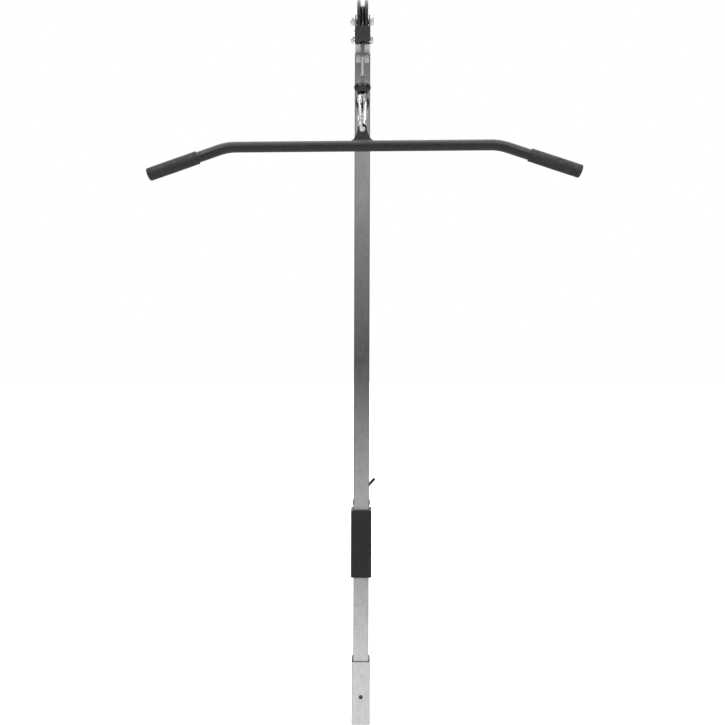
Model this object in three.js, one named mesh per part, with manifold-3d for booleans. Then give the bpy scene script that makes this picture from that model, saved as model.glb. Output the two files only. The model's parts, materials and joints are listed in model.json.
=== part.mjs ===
// Lat pulldown tower: a chromed upright that plugs into a receiver, a boom with two pulleys on top,
// a weight carriage that slides on the upright, and a cable that ends in a curved pulldown bar.
// Millimetres, +Z up, the front faces -Y. The origin is the centre of the bottom end of the base stub.
import * as THREE from 'three';
import { mergeVertices } from 'three/addons/utils/BufferGeometryUtils.js';
import Module from 'manifold-3d';

const wasm = await Module();
wasm.setup();

// ---------------------------------------------------------------- driving dimensions
const gap = 0.3; // between pieces that touch
const deg = Math.PI / 180;

const tube = { side: 38, wall: 2, corner: 3 }; // upright post and boom
const postTop = 1628;
const postFoot = 2;

const bolt = { hole: 10, z: 68 }; // cross hole for the receiver's pin
const shim = { wall: 0.8, foot: 90, top: 148, play: 0.1 };
const stubWall = 2;
const stub = {
  side: tube.side + 2 * (shim.wall + 2 * gap + shim.play + stubWall),
  wall: stubWall,
  corner: 3,
  height: 152,
};

const boom = { front: -70, rear: 100 };
const spigot = { length: 100, wall: 3, screwDrop: 48, screw: 8, screwHead: 14 };

const pulley = {
  outer: 92,
  groove: 59.4,
  width: 26,
  rim: 5,
  lip: 2,
  play: 3,
  sideClear: 2, // to each ear of the fork
  front: -34,
  rear: 64,
  rise: 33.7,
};
const bearing = { outer: 26, width: 8 };
const axle = { thread: 10, flats: 17, head: 6.4, nut: 8.4, spacer: 15, play: 0.3 };
const washer = { outer: 20, thick: 2 };
const fork = {
  inner: pulley.width + 2 * pulley.sideClear,
  plate: 3,
  webFoot: postTop,
  webRise: 5.2,
  notchWidth: 14,
  chamfer: 3,
  eye: 15,
};

const cable = { thick: 5, sides: 8, slotHalf: 5, slotReach: 9 };

const glide = { length: 22, flange: 2, wall: 4 };
const sleeveWall = 2;
const carriage = {
  side: tube.side + 2 * (glide.wall + sleeveWall),
  wall: sleeveWall,
  corner: 3,
  foot: 360,
  top: 518,
};
const stopPin = { thick: 8, collar: 11, collarWidth: 1.5, proud: 10 };
const horn = { thick: 28, root: 485, tilt: 13, tip: 340, cap: 4 };
const ring = { outer: 40, width: 10, y: 126 };
const arm = { plate: 6, eyeZ: 560, eyeRadius: 13, hole: 11 };
const shackle = { wire: 8, legs: 22, rise: 30, lug: 18, pin: 9, headThick: 4, headExtra: 6 };
const rearLoop = { rise: 30, thimble: 1.6, play: 1.1 };
const ferrule = { thick: 8, rearThick: 9, rearLength: 24 };
const collar = {
  y: 190,
  wire: 3.6,
  play: 0.25,
  turns: 3,
  pitch: 4.1,
  tail: 34,
  rightEnd: 50,
  leftEnd: 100,
};

const hook = {
  ferruleTop: postTop - 29,
  ballTop: postTop - 76,
  ballFoot: postTop - 113,
  ball: 40,
};
const carabiner = {
  wire: 8,
  top: postTop - 114,
  foot: postTop - 202.5,
  wide: 19,
  narrow: 12.5,
  eye: 11,
  turn: 26,
};
const gate = { thick: 7, foot: postTop - 181, pivot: postTop - 136, pin: 3, flank: 1.2 };

const bar = {
  thick: 25,
  wall: 2,
  z: postTop - 238,
  bend: 18.8,
  corner: 322,
  radius: 130,
  arm: 200,
  yaw: -2.2,
};
const grip = { thick: 31, length: 126, end: 3 };
const lug = { plate: 5, top: postTop - 185, holeZ: postTop - 198.5, hole: 13, base: 50, crown: 21 };

// ---------------------------------------------------------------- materials
const finish = {
  chrome: [0xc9cbcd, 0.18, 1.0],
  black: [0x1c1c1e, 0.5, 0.3],
  nylon: [0x141414, 0.45, 0.0],
  rubber: [0x1b1b1b, 0.85, 0.0],
  zinc: [0xbfc1c3, 0.35, 1.0],
  steel: [0x9a9c9e, 0.4, 1.0],
  coating: [0x616264, 0.3, 0.2],
};
const material = (name) =>
  new THREE.MeshStandardMaterial({
    color: finish[name][0],
    roughness: finish[name][1],
    metalness: finish[name][2],
  });

const tower = new THREE.Group();
function add(name, geometry, finishName, parent = tower) {
  const mesh = new THREE.Mesh(geometry, material(finishName));
  mesh.name = name;
  parent.add(mesh);
  return mesh;
}

// ---------------------------------------------------------------- solids
function toManifold(geometry) {
  const bare = geometry.clone();
  bare.deleteAttribute('normal');
  bare.deleteAttribute('uv');
  const merged = mergeVertices(bare, 1e-4);
  return new wasm.Manifold(
    new wasm.Mesh({
      numProp: 3,
      vertProperties: Float32Array.from(merged.attributes.position.array),
      triVerts: Uint32Array.from(merged.index.array),
    }),
  );
}

function toGeometry(manifold) {
  const mesh = manifold.getMesh();
  const geometry = new THREE.BufferGeometry();
  geometry.setAttribute('position', new THREE.BufferAttribute(Float32Array.from(mesh.vertProperties), 3));
  geometry.setIndex(new THREE.BufferAttribute(Uint32Array.from(mesh.triVerts), 1));
  geometry.computeVertexNormals();
  return geometry;
}

const cut = (body, ...tools) =>
  toGeometry(tools.reduce((left, tool) => left.subtract(toManifold(tool)), toManifold(body)));
const join = (body, ...more) =>
  toGeometry(more.reduce((left, extra) => left.add(toManifold(extra)), toManifold(body)));

// Box between two corners.
function box(low, high) {
  const size = high.map((value, i) => value - low[i]);
  const middle = high.map((value, i) => (value + low[i]) / 2);
  return new THREE.BoxGeometry(...size).translate(...middle);
}

// Cylinder of a diameter along an axis letter, between two places on that axis, about a centre line.
function rod(thick, axis, from, to, centre = [0, 0, 0], sides = 16) {
  const shape = new THREE.CylinderGeometry(thick / 2, thick / 2, to - from, sides);
  const middle = (from + to) / 2;
  const [x, y, z] = centre;
  if (axis === 'x') return shape.rotateZ(-Math.PI / 2).translate(middle, y, z);
  if (axis === 'z') return shape.rotateX(Math.PI / 2).translate(x, y, middle);
  return shape.translate(x, middle, z);
}

// Ring: a straight bush with a bore.
function bush(outer, bore, axis, from, to, centre = [0, 0, 0], sides = 16) {
  return cut(rod(outer, axis, from, to, centre, sides), rod(bore, axis, from - 1, to + 1, centre, sides));
}

// Hexagon prism along X, with flats at a given distance.
function hexagon(flats, from, to, centre) {
  return rod(flats / Math.cos(30 * deg), 'x', from, to, centre, 6);
}

function squareOutline(side, corner) {
  const half = side / 2;
  const shape = new THREE.Shape();
  shape.moveTo(half, -half + corner);
  shape.lineTo(half, half - corner);
  shape.absarc(half - corner, half - corner, corner, 0, 90 * deg, false);
  shape.absarc(-half + corner, half - corner, corner, 90 * deg, 180 * deg, false);
  shape.absarc(-half + corner, -half + corner, corner, 180 * deg, 270 * deg, false);
  shape.absarc(half - corner, -half + corner, corner, 270 * deg, 360 * deg, false);
  return shape;
}

// Square bar along Z with rounded corners.
function squareBar(side, corner, from, to) {
  return new THREE.ExtrudeGeometry(squareOutline(side, corner), {
    depth: to - from,
    bevelEnabled: false,
    curveSegments: 2,
  }).translate(0, 0, from);
}

function squareTube(side, wall, corner, from, to) {
  const inside = Math.max(corner - wall, 0.5);
  return cut(squareBar(side, corner, from, to), squareBar(side - 2 * wall, inside, from - 1, to + 1));
}

// Flat plate drawn in Y and Z, centred on a place along X.
function plateYZ(shape, thick, x = 0, segments = 8) {
  const swap = new THREE.Matrix4().set(0, 0, 1, x - thick / 2, 1, 0, 0, 0, 0, 1, 0, 0, 0, 0, 0, 1);
  return new THREE.ExtrudeGeometry(shape, {
    depth: thick,
    bevelEnabled: false,
    curveSegments: segments,
  }).applyMatrix4(swap);
}

// Flat plate drawn in X and Z, centred on a place along Y.
function plateXZ(shape, thick, y = 0, segments = 8) {
  return new THREE.ExtrudeGeometry(shape, {
    depth: thick,
    bevelEnabled: false,
    curveSegments: segments,
  })
    .rotateX(90 * deg)
    .translate(0, y + thick / 2, 0);
}

// Solid of a profile of [radius, height] points turned about an axis letter.
function turned(profile, axis, centre = [0, 0, 0], sides = 32) {
  const points = profile.map(([radius, height]) => new THREE.Vector2(radius, height));
  if (THREE.ShapeUtils.area(points) < 0) points.reverse();
  const shape = new THREE.LatheGeometry(points, sides);
  if (axis === 'x') shape.rotateZ(-Math.PI / 2);
  if (axis === 'z') shape.rotateX(Math.PI / 2);
  return shape.translate(...centre);
}

// Round bar along a path of 3-D points; the path is followed exactly from point to point.
class Polyline3 extends THREE.Curve {
  constructor(points) {
    super();
    this.points = points;
  }
  getPoint(t, target = new THREE.Vector3()) {
    const place = t * (this.points.length - 1);
    const index = Math.min(Math.floor(place), this.points.length - 2);
    return target.lerpVectors(this.points[index], this.points[index + 1], place - index);
  }
  getPointAt(t, target) {
    return this.getPoint(t, target);
  }
  getTangent(t, target = new THREE.Vector3()) {
    const place = t * (this.points.length - 1);
    const last = this.points.length - 1;
    const index = Math.round(place);
    const before = this.points[Math.max(index - 1, 0)];
    const after = this.points[Math.min(index + 1, last)];
    return target.subVectors(after, before).normalize();
  }
  getTangentAt(t, target) {
    return this.getTangent(t, target);
  }
}

function wireAlong(points, thick, sides = 8) {
  const section = new THREE.Shape();
  for (let i = 0; i < sides; i += 1) {
    const angle = ((i + 0.5) / sides) * 2 * Math.PI;
    const [x, y] = [(thick / 2) * Math.cos(angle), (thick / 2) * Math.sin(angle)];
    if (i === 0) section.moveTo(x, y);
    else section.lineTo(x, y);
  }
  return new THREE.ExtrudeGeometry(section, {
    steps: points.length - 1,
    extrudePath: new Polyline3(points),
    bevelEnabled: false,
  });
}

// Points of an arc in the Y-Z plane, angles in degrees from +Y towards +Z.
function arcYZ(centreY, centreZ, radius, from, to, steps, x = 0) {
  return Array.from({ length: steps + 1 }, (_, i) => {
    const angle = (from + ((to - from) * i) / steps) * deg;
    return new THREE.Vector3(x, centreY + radius * Math.cos(angle), centreZ + radius * Math.sin(angle));
  });
}

// ---------------------------------------------------------------- places worked out from the dimensions
const half = tube.side / 2;
const boomFoot = postTop + gap;
const boomTop = boomFoot + tube.side;
const pulleyZ = boomTop + pulley.rise;
const webTop = boomTop + fork.webRise;
const runRadius = pulley.groove / 2 + gap + cable.thick / 2; // cable centre line round a pulley
const frontRun = pulley.front - runRadius;
const rearRun = pulley.rear + runRadius;
const forkHalf = fork.inner / 2 + fork.plate;
const thimbleWidth = cable.thick + 2;
const hornSlope = Math.tan(horn.tilt * deg);
const hornRise = (y) => horn.root + (y - carriage.side / 2) * hornSlope;

// ---------------------------------------------------------------- base and upright
function buildUpright() {
  const pinHole = rod(bolt.hole, 'y', -stub.side, stub.side, [0, 0, bolt.z]);
  add(
    'base_stub',
    cut(squareTube(stub.side, stub.wall, stub.corner, 0, stub.height), pinHole),
    'chrome',
  );

  const shimSide = tube.side + 2 * gap + 2 * shim.wall;
  const shimCorner = tube.corner + gap + shim.wall;
  add('stub_shim', squareTube(shimSide, shim.wall, shimCorner, shim.foot, shim.top), 'nylon');

  const spigotSide = tube.side - 2 * tube.wall - 2 * gap;
  const screwZ = postTop - spigot.screwDrop;
  const screwHole = (from, to, thick) => rod(thick, 'y', from, to, [0, 0, screwZ]);
  const stopZ = carriage.foot - glide.flange - 2 * gap - stopPin.collar / 2;
  const stopHole = rod(stopPin.thick + 2 * gap, 'y', -1, half + 1, [0, 0, stopZ]);
  add(
    'upright_post',
    cut(
      squareTube(tube.side, tube.wall, tube.corner, postFoot, postTop),
      pinHole,
      screwHole(0, half + 1, spigot.screw + 2 * gap),
      stopHole,
    ),
    'chrome',
  );

  add(
    'boom_spigot',
    cut(
      squareTube(spigotSide, spigot.wall, 1, postTop - spigot.length, postTop),
      screwHole(0, half, spigot.screw + 2 * gap),
    ),
    'steel',
  );
  const shank = screwHole(spigotSide / 2 - spigot.wall - 3, half + 1, spigot.screw);
  const screw = join(shank, domedHead(screwZ));
  add('spigot_screw', screw, 'zinc');

  // The carriage rests on this pin, which stands out of the back of the post only.
  const pin = join(
    rod(stopPin.thick, 'y', -half + tube.wall + gap, half + stopPin.proud, [0, 0, stopZ]),
    rod(stopPin.collar, 'y', half + gap, half + gap + stopPin.collarWidth, [0, 0, stopZ]),
  );
  add('carriage_stop_pin', pin, 'zinc');
}

// Domed head of the screw on the back of the post.
function domedHead(z) {
  const base = half + gap;
  const profile = [
    [0, base],
    [spigot.screwHead / 2, base],
    [spigot.screwHead / 2, base + 1.5],
    [5, base + 3.6],
    [2.5, base + 4.4],
    [2.5, base + 2],
    [0, base + 2],
  ];
  return turned(profile, 'y', [0, 0, z], 20);
}

// ---------------------------------------------------------------- boom, forks and pulleys
function buildBoom() {
  const laid = squareTube(tube.side, tube.wall, tube.corner, boom.front, boom.rear)
    .rotateX(-90 * deg)
    .translate(0, 0, boomFoot + half);
  const slotHalf = pulley.width / 2 + 1;
  const dip = Math.sqrt((pulley.outer / 2) ** 2 - (pulleyZ - boomTop) ** 2) + pulley.play;
  // Each pulley's slot runs out at the boom's end, which its fork closes.
  const pulleySlot = (from, to) =>
    box([-slotHalf, from, boomTop - tube.wall - 1], [slotHalf, to, boomTop + 1]);
  const cableSlot = (from, to) =>
    box([-cable.slotHalf, from, boomFoot - 1], [cable.slotHalf, to, boomFoot + tube.wall + 1]);
  add(
    'boom_tube',
    cut(
      laid,
      pulleySlot(boom.front - 1, pulley.front + dip),
      pulleySlot(pulley.rear - dip, boom.rear + 1),
      cableSlot(boom.front - 1, frontRun + cable.slotReach),
      cableSlot(rearRun - cable.slotReach, boom.rear + 1),
    ),
    'chrome',
  );

  add('front_fork', forkGeometry(pulley.front, boom.front, -1), 'black');
  add('rear_fork', forkGeometry(pulley.rear, boom.rear, 1), 'black');
}

// A fork: a web over the boom's open end, and two ears that stand on the boom and hold the axle.
function forkGeometry(axleY, endY, side) {
  const web = endY + side * gap;
  const low = Math.min(web, web + side * fork.plate);
  const high = Math.max(web, web + side * fork.plate);
  const notch = fork.notchWidth / 2;
  const panel = new THREE.Shape();
  const { chamfer } = fork;
  panel.moveTo(-forkHalf + chamfer, fork.webFoot);
  panel.lineTo(-forkHalf, fork.webFoot + chamfer * 2);
  panel.lineTo(-forkHalf, webTop);
  panel.lineTo(forkHalf, webTop);
  panel.lineTo(forkHalf, fork.webFoot + chamfer * 2);
  panel.lineTo(forkHalf - chamfer, fork.webFoot);
  panel.lineTo(notch, fork.webFoot);
  panel.absarc(0, fork.webFoot, notch, 0, 180 * deg, false);
  const front = plateXZ(panel, fork.plate, (low + high) / 2);

  const outer = web + side * fork.plate;
  const foot = boomTop + gap;
  const ear = new THREE.Shape();
  const reach = side * fork.eye;
  ear.moveTo(outer, foot);
  ear.lineTo(outer, webTop);
  const lean = Math.atan2(pulleyZ - webTop, Math.abs(outer - axleY)) / deg;
  const start = side < 0 ? 180 - (90 - lean) - 20 : 90 - lean + 20;
  const clockwise = side < 0;
  ear.absarc(axleY, pulleyZ, fork.eye, start * deg, (side < 0 ? 0 : 180) * deg, clockwise);
  ear.lineTo(axleY - reach, foot);
  ear.closePath();
  const ears = [-1, 1].map((s) => plateYZ(ear, fork.plate, s * (fork.inner / 2 + fork.plate / 2)));
  const hole = rod(axle.thread + 2 * axle.play, 'x', -forkHalf - 1, forkHalf + 1, [0, axleY, pulleyZ]);
  return toGeometry(
    toManifold(front).add(toManifold(ears[0])).add(toManifold(ears[1])).subtract(toManifold(hole)),
  );
}

function buildPulley(prefix, y) {
  const centre = [0, y, pulleyZ];
  const out = pulley.outer / 2;
  const root = pulley.groove / 2;
  const side = pulley.width / 2;
  const bore = bearing.outer / 2 + gap;
  const mouth = side - pulley.rim;
  const floor = cable.thick / 2 + gap;
  const wheel = [
    [bore, -side],
    [out - pulley.lip, -side],
    [out, -side + pulley.lip],
    [out, -mouth],
    [root + 4, -floor - 1],
    [root, -floor],
    [root, floor],
    [root + 4, floor + 1],
    [out, mouth],
    [out, side - pulley.lip],
    [out - pulley.lip, side],
    [bore, side],
    [bore, -side],
  ];
  add(`${prefix}_pulley`, turned(wheel, 'x', centre, 36), 'nylon');

  const hole = axle.thread + 2 * axle.play;
  const race = bearing.width / 2;
  add(`${prefix}_bearing`, bush(bearing.outer, hole, 'x', -race, race, centre), 'steel');
  const inner = fork.inner / 2 - gap;
  add(`${prefix}_spacer_left`, bush(axle.spacer, hole, 'x', -inner, -race - gap, centre), 'zinc');
  add(`${prefix}_spacer_right`, bush(axle.spacer, hole, 'x', race + gap, inner, centre), 'zinc');

  const washerFrom = forkHalf + gap;
  const washerTo = washerFrom + washer.thick;
  add(`${prefix}_washer_left`, bush(washer.outer, hole, 'x', -washerTo, -washerFrom, centre), 'zinc');
  add(`${prefix}_washer_right`, bush(washer.outer, hole, 'x', washerFrom, washerTo, centre), 'zinc');
  const headFrom = washerTo + gap;
  const nutTo = headFrom + axle.nut;
  add(
    `${prefix}_axle_bolt`,
    join(
      rod(axle.thread, 'x', -nutTo - 1, headFrom + 1, centre),
      hexagon(axle.flats, headFrom, headFrom + axle.head, centre),
    ),
    'zinc',
  );
  add(
    `${prefix}_lock_nut`,
    cut(
      hexagon(axle.flats, -nutTo, -headFrom, centre),
      rod(hole, 'x', -nutTo - 1, -headFrom + 1, centre),
    ),
    'zinc',
  );
}

// ---------------------------------------------------------------- cable
function buildCable() {
  const arcSteps = 12;
  const front = arcYZ(pulley.front, pulleyZ, runRadius, 180, 90, arcSteps);
  const rear = arcYZ(pulley.rear, pulleyZ, runRadius, 90, 0, arcSteps);
  add('cable_top_run', wireAlong([...front, ...rear], cable.thick, cable.sides), 'coating');
  add(
    'cable_front_run',
    rod(cable.thick, 'z', hook.ferruleTop + gap, pulleyZ - gap, [0, frontRun, 0], cable.sides),
    'coating',
  );
  const rearFerruleTop = rearCable().ferruleTop;
  add(
    'cable_rear_run',
    rod(cable.thick, 'z', rearFerruleTop + gap, pulleyZ - gap, [0, rearRun, 0], cable.sides),
    'coating',
  );
}

// Heights of the rear end of the cable, worked up from the shackle.
function rearCable() {
  const bowCentre = arm.eyeZ + shackle.rise;
  const hollowMin = shackle.wire / 2 + rearLoop.play;
  const radius = hollowMin + rearLoop.thimble + gap + cable.thick / 2; // cable centre line
  const hollow = radius - cable.thick / 2 - gap - rearLoop.thimble;
  const bowInside = shackle.legs / 2 - shackle.wire / 2;
  const seat = bowCentre + Math.sqrt(bowInside ** 2 - (thimbleWidth / 2) ** 2) - 2 * gap;
  const centre = seat + hollow;
  const ferruleFoot = centre + rearLoop.rise;
  return { bowCentre, radius, centre, ferruleFoot, ferruleTop: ferruleFoot + ferrule.rearLength };
}

// ---------------------------------------------------------------- carriage
function buildCarriage() {
  const sleeveHoleSide = carriage.side - 2 * carriage.wall;
  add(
    'carriage_sleeve',
    squareTube(carriage.side, carriage.wall, carriage.corner, carriage.foot, carriage.top),
    'black',
  );
  const glideSide = sleeveHoleSide - 2 * gap;
  const glideHole = tube.side + 2 * gap;
  const glideBody = (from, to, flangeFrom, flangeTo) =>
    cut(
      join(
        squareBar(glideSide, 1.5, from, to),
        squareBar(carriage.side, carriage.corner, flangeFrom, flangeTo),
      ),
      squareBar(glideHole, tube.corner, carriage.foot - 20, carriage.top + 20),
    );
  const upperRim = carriage.top + gap;
  const lowerRim = carriage.foot - gap;
  add(
    'upper_glide',
    glideBody(carriage.top - glide.length, upperRim + 1, upperRim, upperRim + glide.flange),
    'nylon',
  );
  add(
    'lower_glide',
    glideBody(lowerRim - 1, carriage.foot + glide.length, lowerRim - glide.flange, lowerRim),
    'nylon',
  );

  // The horn's own frame has its axis along +Y; its group leans it up.
  const leaning = new THREE.Group();
  leaning.position.set(0, carriage.side / 2, horn.root);
  leaning.rotation.x = horn.tilt * deg;
  tower.add(leaning);
  const length = (horn.tip - carriage.side / 2) / Math.cos(horn.tilt * deg);
  const rootCut = (horn.thick / 2) * hornSlope + gap / Math.cos(horn.tilt * deg);
  add('weight_horn', hornBar(rootCut, length - horn.cap - gap), 'chrome', leaning);
  const capProfile = [
    [0, length - horn.cap],
    [horn.thick / 2, length - horn.cap],
    [horn.thick / 2, length - 1.5],
    [horn.thick / 2 - 2, length],
    [0, length],
  ];
  add('horn_end_cap', turned(capProfile, 'y', [0, 0, 0], 32), 'nylon', leaning);
  const ringAt = (ring.y - carriage.side / 2) / Math.cos(horn.tilt * deg);
  add(
    'horn_stop_ring',
    bush(ring.outer, horn.thick + 2 * gap, 'y', ringAt, ringAt + ring.width, [0, 0, 0], 32),
    'black',
    leaning,
  );
  buildCollar(leaning);
  buildCableArm();
}

// Round bar whose root is cut to lie flat on the sleeve's rear wall.
function hornBar(rootCut, length) {
  const bar = rod(horn.thick, 'y', -20, length, [0, 0, 0], 32);
  const wall = box([-60, -120, -120], [60, 0, 120]).rotateX(-horn.tilt * deg);
  wall.translate(0, gap / Math.cos(horn.tilt * deg), 0);
  return cut(bar, wall);
}

// Coil collar with two crossed tails, in the horn's frame.
function buildCollar(parent) {
  const start = (collar.y - carriage.side / 2) / Math.cos(horn.tilt * deg);
  const radius = horn.thick / 2 + gap + collar.wire / 2 + collar.play;
  const stepsPerTurn = 12;
  // The tails leave at rightEnd and leftEnd, angles from +X towards +Z.
  const sweep = collar.turns * 360 - (collar.leftEnd - collar.rightEnd);
  const steps = Math.round((sweep / 360) * stepsPerTurn);
  const coil = Array.from({ length: steps + 1 }, (_, i) => {
    const angle = (collar.rightEnd - (sweep * i) / steps) * deg;
    const along = start + (collar.pitch * sweep * i) / steps / 360;
    return new THREE.Vector3(radius * Math.cos(angle), along, radius * Math.sin(angle));
  });
  const tail = (end) => {
    const way = new THREE.Vector3(end.x, 0, end.z).normalize();
    return [1, 2, 3].map((k) => end.clone().addScaledVector(way, (collar.tail * k) / 3));
  };
  const first = coil[0];
  const last = coil[coil.length - 1];
  const tailA = tail(first);
  const tailB = tail(last);
  const path = [...tailA.reverse(), ...coil, ...tailB];
  add('spring_collar', wireAlong(path, collar.wire, 8), 'steel', parent);
  [
    ['collar_grip_right', tailA[0], first],
    ['collar_grip_left', tailB[2], last],
  ].forEach(([name, tip, root]) => {
    const way = new THREE.Vector3().subVectors(tip, root).normalize();
    const sleeve = gripSleeve(collar.wire + 2 * gap, collar.wire + 3.4, (collar.tail * 2) / 3);
    const mesh = add(name, sleeve, 'rubber', parent);
    mesh.position.copy(tip).addScaledVector(way, 2.5);
    mesh.quaternion.setFromUnitVectors(new THREE.Vector3(0, 1, 0), way);
  });
}

// Closed-end sleeve that hangs back along -Y from its tip at the origin.
function gripSleeve(bore, outer, length) {
  const profile = [
    [0, 0],
    [outer / 2 - 1, -0.4],
    [outer / 2, -1.6],
    [outer / 2, -length],
    [bore / 2, -length],
    [bore / 2, -2.2],
    [0, -2.2],
    [0, 0],
  ];
  return turned(profile, 'y', [0, 0, 0], 12);
}

// Gusset between the sleeve and the horn that carries the eye for the cable, its shackle and thimble.
function buildCableArm() {
  const wall = carriage.side / 2 + gap;
  const clear = horn.thick / 2 / Math.cos(horn.tilt * deg) + gap;
  const eyeY = rearRun;
  const shape = new THREE.Shape();
  shape.moveTo(wall, hornRise(wall) + clear);
  shape.lineTo(eyeY + arm.eyeRadius, hornRise(eyeY + arm.eyeRadius) + clear);
  shape.lineTo(eyeY + arm.eyeRadius, arm.eyeZ);
  shape.absarc(eyeY, arm.eyeZ, arm.eyeRadius, 0, 130 * deg, false);
  shape.lineTo(wall, carriage.top - 2);
  shape.closePath();
  const hole = rod(arm.hole, 'x', -arm.plate, arm.plate, [0, eyeY, arm.eyeZ]);
  add('cable_arm', cut(plateYZ(shape, arm.plate), hole), 'black');

  const parts = rearCable();
  const leg = shackle.legs / 2;
  const bow = Array.from({ length: 13 }, (_, i) => {
    const angle = (180 - i * 15) * deg;
    return new THREE.Vector3(leg * Math.cos(angle), eyeY, parts.bowCentre + leg * Math.sin(angle));
  });
  const path = [
    new THREE.Vector3(-leg, eyeY, arm.eyeZ + 3),
    ...bow,
    new THREE.Vector3(leg, eyeY, arm.eyeZ + 3),
  ];
  const lugs = [-1, 1].map((s) =>
    rod(shackle.lug, 'x', s * leg - shackle.wire / 2, s * leg + shackle.wire / 2, [0, eyeY, arm.eyeZ]),
  );
  const pinHole = rod(shackle.pin + 2 * gap, 'x', -30, 30, [0, eyeY, arm.eyeZ]);
  add(
    'rear_shackle',
    toGeometry(
      toManifold(wireAlong(path, shackle.wire, 8))
        .add(toManifold(lugs[0]))
        .add(toManifold(lugs[1]))
        .subtract(toManifold(pinHole)),
    ),
    'zinc',
  );
  const reach = leg + shackle.wire / 2;
  add(
    'rear_shackle_pin',
    join(
      rod(shackle.pin, 'x', -reach - 2, reach + 1, [0, eyeY, arm.eyeZ]),
      rod(shackle.pin + shackle.headExtra, 'x', reach + gap, reach + gap + shackle.headThick, [
        0,
        eyeY,
        arm.eyeZ,
      ]),
    ),
    'zinc',
  );

  const strand = cable.thick / 2 + gap;
  const loop = loopAround(parts.centre, parts.radius, parts.ferruleFoot - gap, strand);
  add('rear_cable_loop', loop, 'coating');
  add('rear_thimble', thimble(parts), 'zinc');
  add(
    'rear_ferrule',
    rod(ferrule.rearThick, 'z', parts.ferruleFoot, parts.ferruleTop, [0, 0, 0], 16)
      .scale(0.9, 1.35, 1)
      .translate(0, eyeY, 0),
    'steel',
  );
}

// Points of a teardrop in Y and Z about the rear run: two strands that part and meet round the bottom.
function teardrop(centreZ, radius, topZ, topHalf, steps) {
  const shoulder = 40; // degrees that the round part runs above the middle on each side
  const round = arcYZ(rearRun, centreZ, radius, 180 - shoulder, 360 + shoulder, steps);
  const strand = (side, z) => new THREE.Vector3(0, rearRun + side * topHalf, z);
  const straight = 5;
  return [
    strand(-1, topZ),
    strand(-1, topZ - straight),
    ...round,
    strand(1, topZ - straight),
    strand(1, topZ),
  ];
}

function loopAround(centreZ, radius, topZ, topHalf) {
  return wireAlong(teardrop(centreZ, radius, topZ, topHalf, 16), cable.thick, cable.sides);
}

// Thimble: a strip bent into the inside of the rear loop.
function thimble(parts) {
  const outer = parts.radius - cable.thick / 2 - gap;
  const wall = rearLoop.thimble;
  const shape = new THREE.Shape();
  const tip = parts.centre + outer + 4;
  const drop = (radius, tipZ) => [
    ...arcYZ(rearRun, parts.centre, radius, 150, 390, 16),
    new THREE.Vector3(0, rearRun, tipZ),
  ];
  drop(outer, tip).forEach((p, i) => (i ? shape.lineTo(p.y, p.z) : shape.moveTo(p.y, p.z)));
  shape.closePath();
  const hole = new THREE.Path();
  const inside = drop(outer - wall, tip - wall * 1.4);
  inside.forEach((p, i) => (i ? hole.lineTo(p.y, p.z) : hole.moveTo(p.y, p.z)));
  hole.closePath();
  shape.holes.push(hole);
  return plateYZ(shape, thimbleWidth);
}

// ---------------------------------------------------------------- hook end of the cable
function buildHook() {
  const centre = [0, frontRun, 0];
  add('front_ferrule', rod(ferrule.thick, 'z', hook.ballTop + gap, hook.ferruleTop, centre, 16), 'zinc');

  const r = hook.ball / 2;
  const widest = hook.ballFoot + 12;
  const bore = cable.thick + 4 * gap; // radius that clears two strands side by side
  const neck = bore + 1.2;
  const mouth = 11.5;
  const bell = [
    [bore, hook.ballTop],
    [bore, hook.ballFoot + 20],
    [mouth, hook.ballFoot + 12],
    [mouth, hook.ballFoot],
    [r * 0.62, hook.ballFoot],
    [r * 0.84, hook.ballFoot + 3],
    [r * 0.97, hook.ballFoot + 7.5],
    [r, widest],
    [r * 0.97, widest + 4.5],
    [r * 0.84, widest + 9.5],
    [r * 0.62, widest + 15.5],
    [neck + 2.2, widest + 21],
    [neck, hook.ballTop],
    [bore, hook.ballTop],
  ];
  add('stop_ball', turned(bell, 'z', centre, 24), 'nylon');

  // The cable's end loop hangs out of the ball and twists with the carabiner, square to its plane.
  const clear = carabiner.wire / 2 + gap + cable.thick / 2;
  const loopFoot = carabiner.top - carabiner.wire - gap - cable.thick;
  const bend = loopFoot + cable.thick / 2 + clear;
  const strand = cable.thick / 2 + gap / 2;
  const bottom = Array.from({ length: 9 }, (_, i) => {
    const angle = (180 + i * 22.5) * deg;
    return new THREE.Vector3(clear * Math.cos(angle), 0, bend + clear * Math.sin(angle));
  });
  const flare = hook.ballFoot + 20;
  const path = [
    new THREE.Vector3(-strand, 0, hook.ballTop - gap),
    new THREE.Vector3(-strand, 0, flare + 4),
    new THREE.Vector3(-clear, 0, bend + 6),
    ...bottom,
    new THREE.Vector3(clear, 0, bend + 6),
    new THREE.Vector3(strand, 0, flare + 4),
    new THREE.Vector3(strand, 0, hook.ballTop - gap),
  ];
  const holder = new THREE.Group();
  holder.position.set(0, frontRun, 0);
  holder.rotation.z = -carabiner.turn * deg;
  tower.add(holder);
  add('front_cable_loop', wireAlong(path, cable.thick, cable.sides), 'steel', holder);
  buildCarabiner(holder);
}

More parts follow.
